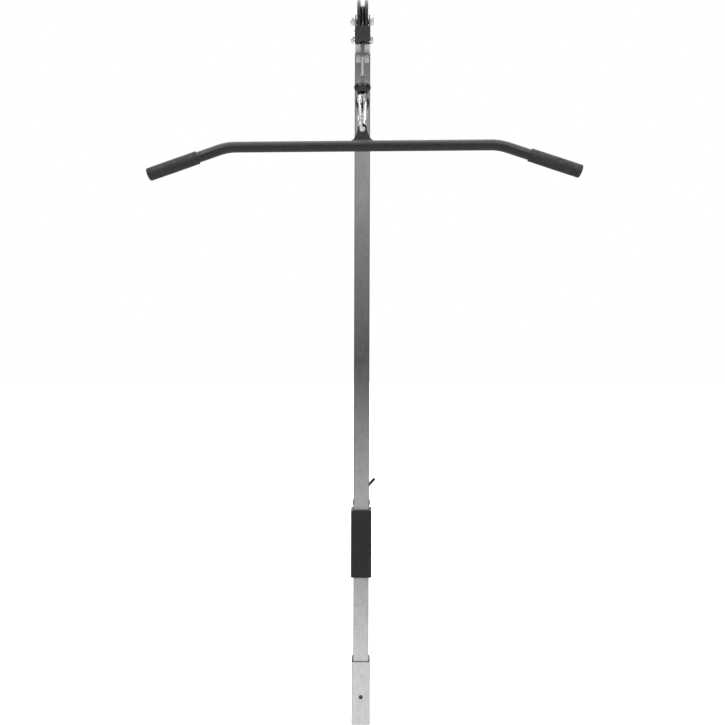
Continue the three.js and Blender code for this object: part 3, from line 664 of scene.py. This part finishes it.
def build_bearing(prefix, centre):
    low, high = corners(f"{prefix}_bearing")
    half, outer, bore = high.x, (high.z - low.z) / 2, AXLE_HOLE / 2
    races = []
    for start, stop, reach, edge in (
        (outer, outer - 3, half, 0.4),  # outer race
        (bore, bore + 2.6, half, 0.4),  # inner race
        (bore + 2.4, outer - 2.8, half - 1, 0.3),  # shield
    ):
        profile = [(start, -reach), (start, reach), (stop, reach), (stop, -reach)]
        races.append(lathe("r", profile, "x", centre, 64, edge=edge))
    stand_for(merged(races, f"{prefix}_ball_race"), f"{prefix}_bearing")


def ring_between(node, name):
    """A bush or washer on the axle, in place of a CAD node."""
    low, high = corners(node)
    centre = (low + high) / 2
    centre.x = 0
    bore, outer = AXLE_HOLE / 2, (high.z - low.z) / 2
    profile = [(bore, low.x), (outer, low.x), (outer, high.x), (bore, high.x)]
    stand_for(lathe(name, profile, "x", centre, 56, edge=0.35), node)


def hexagon(name, flats, low, high, centre, hole=None):
    """A hexagonal head or nut with chamfered corners, along X. The crown overshoots both flat ends."""
    radius = flats / 2 / math.cos(math.radians(30))
    outline = arc((0, 0), radius, 30, 330, 5)
    prism = plate(name, outline, low, high, "yz", (), 0.05, 0)
    prism.data.transform(Matrix.Translation((0, centre.y * MM, centre.z * MM)))
    over = 0.02
    crown = [
        (0, low - over), (radius - 1.2, low - over), (radius + 0.2, low + 1.1),
        (radius + 0.2, high - 1.1), (radius - 1.2, high + over), (0, high + over),
    ]
    turned = lathe("crown", crown, "x", (0, centre.y, centre.z), 64, closed=False)
    prism = combine(prism, turned, "INTERSECT")
    if hole:
        prism = drill(prism, hole, "x", low - 1, high + 1, (0, centre.y, centre.z))
    prism.name = name
    return prism


def thread(name, thick, start, stop, centre, pitch=1.5):
    """The ridged end of a bolt, along X."""
    count = int(abs(stop - start) / pitch)
    step = (stop - start) / count
    profile = [(0, start)]
    for i in range(count):
        x = start + i * step
        profile += [(thick / 2 - 0.8, x), (thick / 2, x + step * 0.5)]
    profile += [(thick / 2 - 0.8, stop), (0, stop)]
    return lathe(name, profile, "x", (0, centre.y, centre.z), 40, closed=False)


def build_axle(prefix, centre):
    for side in ("left", "right"):
        ring_between(f"{prefix}_spacer_{side}", f"{prefix}_bush_{side}")
        ring_between(f"{prefix}_washer_{side}", f"{prefix}_flat_washer_{side}")
    low, high = corners(f"{prefix}_axle_bolt")
    nut_low, nut_high = corners(f"{prefix}_lock_nut")
    head = hexagon("head", AXLE_FLATS, high.x - AXLE_HEAD, high.x, centre)
    under = high.x - AXLE_HEAD + 1
    shank = [(0, nut_high.x), (5, nut_high.x), (5, under), (0, under)]
    shank = lathe("shank", shank, "x", (0, centre.y, centre.z), 40, closed=False)
    end = thread("end", 10, nut_high.x, low.x, centre)
    stand_for(merged([head, shank, end], f"{prefix}_hex_bolt"), f"{prefix}_axle_bolt")
    nut = hexagon("nut", AXLE_FLATS, nut_low.x + 2, nut_high.x, centre, AXLE_HOLE)
    bore, end = AXLE_HOLE / 2, nut_low.x + 2.2
    collar = [(bore, nut_low.x), (7.2, nut_low.x), (7.6, end), (bore, end)]
    collar = lathe("collar", collar, "x", (0, centre.y, centre.z), 48, edge=0.4)
    stand_for(merged([nut, collar], f"{prefix}_nyloc_nut"), f"{prefix}_lock_nut")


# ------------------------------------------------------------------ cable


def build_cable():
    wheel = middle("front_pulley")
    run = middle("cable_front_run").y
    back_wheel = middle("rear_pulley")
    back_run = middle("cable_rear_run").y
    radius = wheel.y - run
    over = [(0, y, z) for y, z in arc((wheel.y, wheel.z), radius, 180, 90, 24)]
    over += [(0, y, z) for y, z in arc((back_wheel.y, back_wheel.z), radius, 90, 0, 24)]
    stand_for(sweep("cable_over_pulleys", over, CABLE_RADIUS, 20), "cable_top_run")
    for node, y, name, body in (
        ("cable_front_run", run, "front_cable", "cable_end"),
        ("cable_rear_run", back_run, "rear_cable", "carriage"),
    ):
        low, high = corners(node)
        steps = max(12, int((high.z - low.z) / 12))
        path = [(0, y, high.z + (low.z - high.z) * i / steps) for i in range(steps + 1)]
        start, end = (0, y * MM, high.z * MM), (0, y * MM, low.z * MM)
        cable = sweep(name, path, CABLE_RADIUS, 16)
        place(cable, None, SLOT_OF[node], node, blend=("tower", body, start, end))


# ------------------------------------------------------------------ carriage

HORN_TILT = math.radians(13)


def horn_frame():
    """The horn's own frame: its axis runs along Y from the sleeve's back."""
    back = corners("carriage_sleeve")[1].y
    return Matrix.Translation((0, back, HORN_ROOT_Z)) @ Matrix.Rotation(HORN_TILT, 4, "X")


def build_carriage():
    low, high = corners("carriage_sleeve")
    side = high.x - low.x
    inner = [rounded_square(side - 2 * TUBE_WALL, 1.4)]
    sleeve = plate("slide_sleeve", rounded_square(side, 3.4, 8), low.z, high.z, "xy", inner, 0.5)
    stand_for(sleeve, "carriage_sleeve")
    for node, name in (("upper_glide", "top_glide"), ("lower_glide", "bottom_glide")):
        g_low, g_high = corners(node)
        flange = 2
        top = node == "upper_glide"
        f_low, f_high = (g_high.z - flange, g_high.z) if top else (g_low.z, g_low.z + flange)
        b_low, b_high = (g_low.z, g_high.z - flange) if top else (g_low.z + flange, g_high.z)
        inner = [rounded_square(38.8, 3.2)]
        rim = plate("rim", rounded_square(side, 3.6, 8), f_low, f_high, "xy", inner, 0.5)
        neck = plate("neck", rounded_square(side - 4.8, 1.6), b_low, b_high, "xy", inner, 0.3)
        stand_for(merged([rim, neck], name), node)

    tilt = horn_frame()
    radius, length = HORN_RADIUS, HORN_LENGTH
    horn = [(0, -8), (radius, 0.4), (radius, length - 4.6), (0, length - 4.6)]
    cutter = block("wall", (-60, -60, -60), (60, GAP, 60))
    cutter.data.transform(Matrix.Translation((0, high.y * MM, HORN_ROOT_Z * MM)))
    bar = lathe("horn", horn, "y", (0, 0, 0), 96, closed=False, matrix=tilt, edge=0.6)
    stand_for(combine(bar, cutter), "weight_horn")
    cap = [(0, length - 4), (radius, length - 4), (radius, length - 1.6), (radius - 2, length), (0, length)]
    stand_for(lathe("horn_cap", cap, "y", (0, 0, 0), 64, closed=False, matrix=tilt, edge=1.0), "horn_end_cap")
    at, wide = 101 / math.cos(HORN_TILT), 10
    bore, outer = radius + GAP, 23
    ring = [(bore, at), (outer, at), (outer, at + wide), (bore, at + wide)]
    stand_for(lathe("plate_stop", ring, "y", (0, 0, 0), 80, matrix=tilt, edge=1.2), "horn_stop_ring")
    seam = [(15.2 * math.cos(a), high.y + 0.9, HORN_ROOT_Z + 15.6 * math.sin(a)) for a in turns(40)]
    bead = sweep("horn_weld", seam, 1.9, 10, closed=True)
    ripple(bead, 0.35, 2.3)
    place(bead, "carriage", "black_powder_coat")
    build_arm()
    build_collar(tilt)


def turns(count):
    """Angles evenly spaced round a full turn."""
    return [2 * math.pi * i / count for i in range(count)]


def ripple(obj, height, pitch):
    """The ripples of a weld bead."""
    for v in obj.data.vertices:
        place_along = (v.co.x + v.co.y * 0.6 + v.co.z) / MM
        v.co += v.normal * (math.sin(place_along * 2 * math.pi / pitch) * height * MM)


def build_arm():
    low, high = corners("cable_arm")
    eye_y, eye_z, radius = middle("cable_rear_run").y, ARM_EYE_Z, ARM_EYE_RADIUS
    clear = HORN_RADIUS / math.cos(HORN_TILT) + GAP
    slope = math.tan(HORN_TILT)
    sleeve_back = corners("carriage_sleeve")[1].y

    def horn_top(y):
        return HORN_ROOT_Z + (y - sleeve_back) * slope + clear

    foot = [(low.y, horn_top(low.y)), (high.y, horn_top(high.y)), (high.y, eye_z)]
    outline = foot + arc((eye_y, eye_z), radius, 5, 130, 16) + [(low.y, corners("carriage_sleeve")[1].z - 2)]
    hole = [arc((eye_y, eye_z), 5.5, 0, 352, 44)]
    stand_for(plate("arm_plate", outline, low.x, high.x, "yz", hole, 0.6), "cable_arm")
    for s, name in ((-1, "arm_weld_left"), (1, "arm_weld_right")):
        line = [(s * 3.2, y, horn_top(y) + 0.1) for y in [low.y + 2 + i * 4 for i in range(19)]]
        bead = sweep(name, line, 1.6, 10)
        ripple(bead, 0.3, 2.6)
        place(bead, "carriage", "black_powder_coat")

    build_shackle(eye_y, eye_z)
    build_rear_loop(eye_y)


def build_shackle(eye_y, eye_z):
    low, high = corners("rear_shackle")
    leg, wire = 11, 4
    bow_z = high.z - wire - leg
    path = [(-leg, eye_y, eye_z + 2 + i * 5) for i in range(5)]
    path += [(x, eye_y, z) for x, z in arc((0, bow_z), leg, 180, 0, 24)]
    path += [(leg, eye_y, eye_z + 22 - i * 5) for i in range(5)]
    parts = [sweep("bow", path, wire, 24)]
    for s in (-1, 1):
        a, b = s * leg - wire, s * leg + wire
        profile = [(4.8, a), (9, a), (9, b), (4.8, b)]
        parts.append(lathe("lug", profile, "x", (0, eye_y, eye_z), 56, edge=1.1))
    stand_for(merged(parts, "bow_shackle"), "rear_shackle")
    low, high = corners("rear_shackle_pin")
    under = high.x - 4
    pin = [(0, low.x), (4.5, low.x), (4.5, under), (7.5, under), (7.5, high.x), (0, high.x)]
    pin = lathe("shackle_pin", pin, "x", (0, eye_y, eye_z), 48, closed=False, edge=0.6)
    stand_for(pin, "rear_shackle_pin")


def build_rear_loop(eye_y):
    low, high = corners("rear_cable_loop")
    radius = (high.y - low.y) / 2 - CABLE_RADIUS
    centre = low.z + CABLE_RADIUS + radius
    loop = [(eye_y - 2.8, high.z), (eye_y - 2.8, high.z - 5)]
    loop += arc((eye_y, centre), radius, 140, 400, 40)
    loop += [(eye_y + 2.8, high.z - 5), (eye_y + 2.8, high.z)]
    path = smooth_path([(0, y, z) for y, z in loop], 2)
    stand_for(sweep("rear_eye_loop", path, CABLE_RADIUS, 18), "rear_cable_loop")

    low, high = corners("rear_thimble")
    outer = (high.y - low.y) / 2
    strip = arc((eye_y, centre), outer, 150, 390, 40) + [(eye_y, high.z)]
    inside = arc((eye_y, centre), outer - 1.6, 150, 390, 40) + [(eye_y, high.z - 2.3)]
    stand_for(plate("thimble", strip, low.x, high.x, "yz", [inside], 0.4), "rear_thimble")

    low, high = corners("rear_ferrule")
    sleeve = crimped("rear_crimp", low.z, high.z, (high.x - low.x) / 2, (high.y - low.y) / 2, (0, eye_y))
    stand_for(sleeve, "rear_ferrule")


def crimped(name, low, high, half_x, half_y, centre, dents=3):
    """A pressed sleeve with rounded ends and shallow press marks."""
    length = high - low
    rows = 40
    profile = []
    for i in range(rows + 1):
        t = i / rows
        dent = 0.06 * math.exp(-(((t * dents) % 1 - 0.5) ** 2) / 0.02) if dents else 0
        end = min(1.0, math.sqrt(max(0.0, min(t, 1 - t) * length / 1.2)) * 0.15 + 0.86)
        profile.append((end * (1 - dent), low + length * t))
    profile = [(0, low)] + profile + [(0, high)]
    sleeve = lathe(name, profile, "z", (0, 0, 0), 48, closed=False)
    sleeve.data.transform(
        Matrix.Translation((centre[0] * MM, centre[1] * MM, 0)) @ Matrix.Diagonal((half_x, half_y, 1, 1))
    )
    return sleeve


def smooth_path(points, rounds):
    """Chaikin smoothing of a path, with its ends kept."""
    points = [Vector(p) for p in points]
    for _ in range(rounds):
        out = [points[0]]
        for a, b in zip(points, points[1:]):
            out += [a.lerp(b, 0.25), a.lerp(b, 0.75)]
        points = out + [points[-1]]
    return points


def build_collar(tilt):
    """A coil collar in the horn's frame, with two dipped tails."""
    wire, turns_round, pitch, tail = 3.6, 3, 4.1, 34
    start = 165 / math.cos(HORN_TILT)
    radius = HORN_RADIUS + GAP + wire / 2 + 0.25
    right, left = 50, 100  # degrees at which the two tails stand out
    sweep_deg = turns_round * 360 - (left - right)
    steps = 150
    coil = []
    for i in range(steps + 1):
        a = math.radians(right - sweep_deg * i / steps)
        along = start + pitch * sweep_deg * i / steps / 360
        coil.append(Vector((radius * math.cos(a), along, radius * math.sin(a))))
    first, last = coil[0], coil[-1]

    def tail_points(end):
        way = Vector((end.x, 0, end.z)).normalized()
        return [end + way * (tail * k / 12) for k in range(1, 13)]

    tail_a, tail_b = tail_points(first), tail_points(last)
    path = smooth_path(tail_a[::-1] + coil + tail_b, 1)
    stand_for(sweep("coil_collar", path, wire / 2, 18, tilt), "spring_collar")
    for node, name, points in (
        ("collar_grip_right", "right_tail_grip", tail_a),
        ("collar_grip_left", "left_tail_grip", tail_b),
    ):
        way = (points[-1] - points[0]).normalized()
        tip = points[-1] + way * 5
        length = tail * 0.8
        grip_path = [tip - way * (length * (1 - i / 14)) for i in range(15)]
        radii = [4.1 + 0.25 * math.cos(i * math.pi) * (2 < i < 12) for i in range(15)]
        stand_for(sweep(name, grip_path, 4.1, 20, tilt, taper=radii, edge=1.2), node)


# ------------------------------------------------------------------ hook end and snap hook

HOOK_TURN = math.radians(-26)


def hook_frame():
    run = middle("cable_front_run").y
    return Matrix.Translation((0, run, 0)) @ Matrix.Rotation(HOOK_TURN, 4, "Z")


def build_hook():
    run = middle("cable_front_run").y
    low, high = corners("front_ferrule")
    sleeve = crimped("front_crimp", low.z, high.z, 4, 4, (0, run), 4)
    stand_for(sleeve, "front_ferrule", ferrule_material())

    low, high = corners("stop_ball")
    r = (high.x - low.x) / 2
    foot, top = low.z, high.z
    bell = [(5.9, top), (5.9, foot + 20), (11.5, foot + 12), (11.5, foot), (r * 0.62, foot)]
    for k in range(1, 12):
        a = math.radians(-52 + k * 9.6)
        bell.append((r * math.cos(a), foot + 13 + 15.5 * math.sin(a)))
    bell += [(10.2, foot + 29), (7.6, foot + 33), (6.6, top - 0.6), (6.2, top)]
    stand_for(lathe("stop_knob", bell, "z", (0, run, 0), 80, edge=0.6), "stop_ball")

    tilt = hook_frame()
    clear, strand = 6.8, CABLE_RADIUS + GAP / 2
    bend = corners("front_cable_loop")[0].z + CABLE_RADIUS + clear
    bottom = [(x, 0, z) for x, z in arc((0, bend), clear, 180, 360, 16)]
    left = [(-strand, 0, top - GAP), (-strand, 0, foot + 24), (-clear, 0, bend + 6)]
    right = [(-x, y, z) for x, y, z in reversed(left)]
    path = smooth_path(left + bottom + right, 2)
    stand_for(sweep("hook_loop", path, CABLE_RADIUS, 18, tilt), "front_cable_loop")
    build_snap_hook(tilt)


def build_snap_hook(tilt):
    """A pear-shaped snap hook, drawn in Y and Z of its own frame."""
    low, high = corners("carabiner_body")
    w, wide, narrow = 4, 15, 8.5
    top, foot = high.z - w - wide, low.z + w + narrow
    gate_low, gate_pivot = GATE_FOOT_Z, GATE_PIVOT_Z

    def flank(z):
        return -(narrow + (wide - narrow) * (z - foot) / (top - foot))

    path = [(flank(gate_pivot + 4), gate_pivot + 4)]
    path += arc((0, top), wide, 165, 0, 36) + arc((0, foot), narrow, -5, -165, 32)
    path += [(flank(gate_low - 2), gate_low - 2)]
    points = smooth_path([(0, y, z) for y, z in path], 2)
    count, ends = len(points), 7
    radii = [w - 0.5 * max(0.0, 1 - min(i, count - 1 - i) / ends) for i in range(count)]
    body = sweep("snap_hook", points, w, 24, taper=radii)
    pivot = (0, flank(gate_pivot), gate_pivot)
    eye = lathe("eye", [(0, -w), (5.4, -w), (5.4, w), (0, w)], "x", pivot, 40, closed=False, edge=0.8)
    body = combine(body, eye, "UNION")
    slot = block("slot", (-1.5, pivot[1] - 9, pivot[2] - 9), (1.5, pivot[1] + 9, pivot[2] + 7))
    body = combine(body, slot)
    body.data.transform(scaled(tilt))
    body.name = "snap_hook"
    stand_for(body, "carabiner_body")

    head = [(1.5, w - 0.2), (1.2, w + 0.15), (0, w + 0.15)]
    rivet = [(r, -x) for r, x in reversed(head)] + head
    pin = lathe("gate_rivet", rivet, "x", pivot, 32, closed=False, matrix=tilt)
    stand_for(pin, "carabiner_pin")

    foot_point = Vector((0, flank(gate_low), gate_low))
    head_point = Vector((0, flank(gate_pivot - 10), gate_pivot - 10))
    line = [foot_point.lerp(head_point, i / 12) for i in range(13)]
    gate = sweep("gate", line, 3.5, 24, edge=0.7)
    tongue = block("tongue", (-1.2, pivot[1] - 3.2, pivot[2] - 12), (1.2, pivot[1] + 3.2, pivot[2] + 3))
    gate = combine(gate, soften(tongue, 0.3), "UNION")
    gate.data.transform(scaled(tilt))
    gate.name = "snap_gate"
    stand_for(gate, "carabiner_gate")


def scaled(matrix):
    """A matrix in mm, for a mesh that is already in metres."""
    made = matrix.copy()
    made.translation = matrix.translation * MM
    return made


# ------------------------------------------------------------------ pulldown bar

BAR_YAW = math.radians(-2.2)


def bar_frame():
    run = middle("cable_front_run").y
    return Matrix.Translation((0, run, BAR_Z)) @ Matrix.Rotation(BAR_YAW, 4, "Z")


def build_bar():
    tilt = bar_frame()
    bend, radius, corner, arm = math.radians(18.8), 130, 322, 200
    tangent = radius * math.tan(bend / 2)
    start = corner - tangent
    half = [(i * start / 24, 0, 0) for i in range(24)]
    for i in range(17):
        a = bend * i / 16
        half.append((start + radius * math.sin(a), 0, -radius * (1 - math.cos(a))))
    last = Vector(half[-1])
    way = Vector((math.cos(bend), 0, -math.sin(bend)))
    straight = arm - tangent
    half += [tuple(last + way * (straight - 3.3) * i / 8) for i in range(1, 9)]
    path = [(-x, y, z) for x, y, z in reversed(half[1:])] + half
    bar = stand_for(sweep("bar", path, BAR_RADIUS, 56, tilt, edge=0.6), "lat_bar_tube")
    bar.visible_glossy = False

    tip = last + way * straight
    for s, name in ((-1, "left_hand_grip"), (1, "right_hand_grip")):
        out = Vector((s * way.x, 0, way.z))
        turn = out.to_track_quat("Z", "Y").to_matrix().to_4x4()
        matrix = tilt @ Matrix.Translation((s * tip.x, 0, tip.z)) @ turn
        grip = lathe(name, grip_profile(126), "z", (0, 0, 0), 72, closed=False, matrix=matrix)
        stand_for(grip, "left_grip" if s < 0 else "right_grip")

    flare, crown, rest = 25, 10.5, 12.3
    crown_z = corners("bar_lug")[1].z - BAR_Z - crown
    a, b, c = Vector((flare, rest)), Vector((14.5, rest + 8)), Vector((crown, crown_z))
    right = [(flare, rest)]
    for i in range(1, 13):
        t = i / 12
        right.append(tuple(a * (1 - t) ** 2 + b * (2 * t * (1 - t)) + c * t * t))
    left = [(-x, z) for x, z in reversed(right)]
    outline = right + arc((0, crown_z), crown, 6, 174, 20) + left
    hole = [arc((0, LUG_HOLE_Z - BAR_Z), 6.5, 0, 352, 44)]
    lug = plate("eye_lug", outline, -2.5, 2.5, "xz", hole, 0.7)
    lug.data.transform(scaled(tilt))
    stand_for(lug, "bar_lug").visible_glossy = False
    for s, name in ((-1, "lug_weld_front"), (1, "lug_weld_back")):
        line = [(-flare + i * 2.5, s * 2.9, 12.2) for i in range(21)]
        bead = sweep(name, line, 1.7, 10, tilt)
        ripple(bead, 0.3, 2.4)
        place(bead, "lat_bar", "black_powder_coat").visible_glossy = False


def grip_profile(length):
    """A moulded sleeve: rounded closed end, a slight swell and a beaded mouth."""
    outer = 15.5
    profile = [(0, 0), (outer - 4, -0.1), (outer - 1.2, -1.0), (outer - 0.2, -3.0)]
    rows = 46
    for i in range(rows + 1):
        t = i / rows
        z = -5 - (length - 12) * t
        profile.append((outer - 0.25 + 0.2 * math.sin(t * math.pi), z))
    bead = [(outer - 0.1, 5.5), (outer, 4), (outer, 1.5), (outer - 1, 0), (12.9, 0), (12.8, 6)]
    return profile + [(radius, -length + rise) for radius, rise in bead]


# ------------------------------------------------------------------ stage, light and camera


def build_stage():
    """A pale floor that shines by itself and is left out of reflections and shadows."""
    mesh = bpy.data.meshes.new("floor")
    reach = 30
    points = [(-reach, -reach, 0), (reach, -reach, 0), (reach, reach, 0), (-reach, reach, 0)]
    mesh.from_pydata(points, [], [(0, 1, 2, 3)])
    floor = bpy.data.objects.new("floor", mesh)
    bpy.context.scene.collection.objects.link(floor)
    floor.location.z = -0.0005
    floor.visible_glossy = False
    floor.visible_diffuse = False
    floor.visible_shadow = False
    s = Shader("pale floor", (0.86, 0.86, 0.86), 0.0, 0.9)
    s.bsdf.inputs["Emission Color"].default_value = (1, 1, 1, 1)
    s.bsdf.inputs["Emission Strength"].default_value = 0.72
    s.bsdf.inputs["Specular IOR Level"].default_value = 0.0
    mesh.materials.append(s.material)


# The studio in front, as (sine of the height above the horizon, brightness).
STUDIO = [
    (-1.0, 0.9),  # white floor
    (-0.4, 0.8),
    (-0.3, 0.5),  # duller where the floor ends
    (-0.2, 0.5),
    (0.0, 0.1),  # dark room behind the camera
    (0.3, 0.4),  # grey wall above it
    (0.4, 0.2),  # shade under the ceiling
    (0.5, 0.2),
    (1.0, 3.0),  # ceiling lamps
]
BRIGHTEST = 3.0
BACKDROP = 0.8  # the pale wall behind
FLAG = 0.25  # black cards at both sides darken to this share


def remap(nodes, links, value, start, stop, low, high):
    node = nodes.new("ShaderNodeMapRange")
    for name, number in (("From Min", start), ("From Max", stop), ("To Min", low), ("To Max", high)):
        node.inputs[name].default_value = number
    links.new(value, node.inputs["Value"])
    return node.outputs["Result"]


def combine_values(nodes, links, operation, first, second):
    node = nodes.new("ShaderNodeMath")
    node.operation = operation
    links.new(first, node.inputs[0])
    if second is not None:
        links.new(second, node.inputs[1])
    return node.outputs["Value"]


def build_world():
    """A studio as polished steel sees it: graded front, pale wall behind, black cards at the sides.

    The camera itself sees plain white.
    """
    world = bpy.data.worlds.new("studio")
    bpy.context.scene.world = world
    world.use_nodes = True
    nodes, links = world.node_tree.nodes, world.node_tree.links
    nodes.clear()
    place_node = nodes.new("ShaderNodeTexCoord")
    split = nodes.new("ShaderNodeSeparateXYZ")
    links.new(place_node.outputs["Generated"], split.inputs["Vector"])
    ramp = nodes.new("ShaderNodeValToRGB")
    elements = ramp.color_ramp.elements
    while len(elements) < len(STUDIO):
        elements.new(0.5)
    for element, (height, level) in zip(elements, STUDIO):
        element.position = (height + 1) / 2
        element.color = (*[level / BRIGHTEST] * 3, 1)
    links.new(remap(nodes, links, split.outputs["Z"], -1, 1, 0, 1), ramp.inputs["Fac"])
    front = nodes.new("ShaderNodeRGBToBW")
    links.new(ramp.outputs["Color"], front.inputs["Color"])
    behind = remap(nodes, links, split.outputs["Y"], 0.05, 0.4, 0, BACKDROP / BRIGHTEST)
    level = combine_values(nodes, links, "MAXIMUM", front.outputs["Val"], behind)
    aside = combine_values(nodes, links, "ABSOLUTE", split.outputs["X"], None)
    shade = remap(nodes, links, aside, 0.7, 0.95, 1, FLAG)
    level = combine_values(nodes, links, "MULTIPLY", level, shade)
    dapple = nodes.new("ShaderNodeTexNoise")
    dapple.inputs["Scale"].default_value = 48
    dapple.inputs["Detail"].default_value = 6
    links.new(place_node.outputs["Generated"], dapple.inputs["Vector"])
    strength = remap(nodes, links, split.outputs["Z"], 0.05, 0.2, 0, 1)
    uneven = remap(nodes, links, dapple.outputs["Fac"], 0.3, 0.7, -0.5, 0.5)
    uneven = combine_values(nodes, links, "MULTIPLY", uneven, strength)
    one = nodes.new("ShaderNodeValue")
    one.outputs[0].default_value = 1
    uneven = combine_values(nodes, links, "ADD", uneven, one.outputs[0])
    level = combine_values(nodes, links, "MULTIPLY", level, uneven)
    lit = nodes.new("ShaderNodeBackground")
    lit.inputs["Strength"].default_value = BRIGHTEST
    links.new(level, lit.inputs["Color"])
    seen = nodes.new("ShaderNodeBackground")
    seen.inputs["Color"].default_value = (1, 1, 1, 1)
    path = nodes.new("ShaderNodeLightPath")
    mix = nodes.new("ShaderNodeMixShader")
    links.new(path.outputs["Is Camera Ray"], mix.inputs["Fac"])
    links.new(lit.outputs["Background"], mix.inputs[1])
    links.new(seen.outputs["Background"], mix.inputs[2])
    out = nodes.new("ShaderNodeOutputWorld")
    links.new(mix.outputs["Shader"], out.inputs["Surface"])


def soft_box(name, location, target, size, power, lit_pieces):
    """An area light for some pieces only, so that the others keep the studio's greys."""
    data = bpy.data.lights.new(name, "AREA")
    data.shape = "RECTANGLE"
    data.size, data.size_y = size
    data.energy = power
    lamp = bpy.data.objects.new(name, data)
    lamp.location = location
    lamp.rotation_mode = "QUATERNION"
    lamp.rotation_quaternion = (Vector(target) - Vector(location)).to_track_quat("-Z", "Y")
    bpy.context.scene.collection.objects.link(lamp)
    lamp.light_linking.receiver_collection = lit_pieces


def build_lights():
    """Two soft boxes for everything but the chrome tubes. The boom has its own chrome, brightened as painted
    light, and is lit.
    """
    lit = bpy.data.collections.new("lit_pieces")
    for obj in bpy.context.scene.objects:
        if obj.type == "MESH" and obj.data.materials and obj.data.materials[0] != MATERIALS["chrome_tube"]:
            lit.objects.link(obj)
    for name, location in (("left_box", (-2.0, -2.9, 2.9)), ("right_box", (1.7, -3.0, 2.9))):
        soft_box(name, location, target=(0, -0.07, 1.5), size=(0.4, 0.7), power=45, lit_pieces=lit)


def build_camera():
    """Level camera a little under the middle of the tower, at the front."""
    data = bpy.data.cameras.new("camera")
    data.sensor_width = 36
    data.lens = 36 * 700 / 725
    camera = bpy.data.objects.new("camera", data)
    camera.location = (0.002, -1.719, 0.879)
    roll = math.radians(0.17)
    camera.rotation_mode = "XYZ"
    camera.rotation_euler = (Matrix.Rotation(math.pi / 2, 4, "X") @ Matrix.Rotation(roll, 4, "Z")).to_euler()
    bpy.context.scene.collection.objects.link(camera)
    bpy.context.scene.camera = camera


build_camera()
build_base()
build_boom()
for prefix in ("front", "rear"):
    build_fork(f"{prefix}_fork", f"{prefix}_bracket")
for prefix in ("front", "rear"):
    build_pulley(prefix)
build_cable()
build_carriage()
build_hook()
build_bar()
build_stage()
build_world()
build_lights()
bpy.context.scene.view_settings.view_transform = "Standard"

bpy.context.view_layer.update()
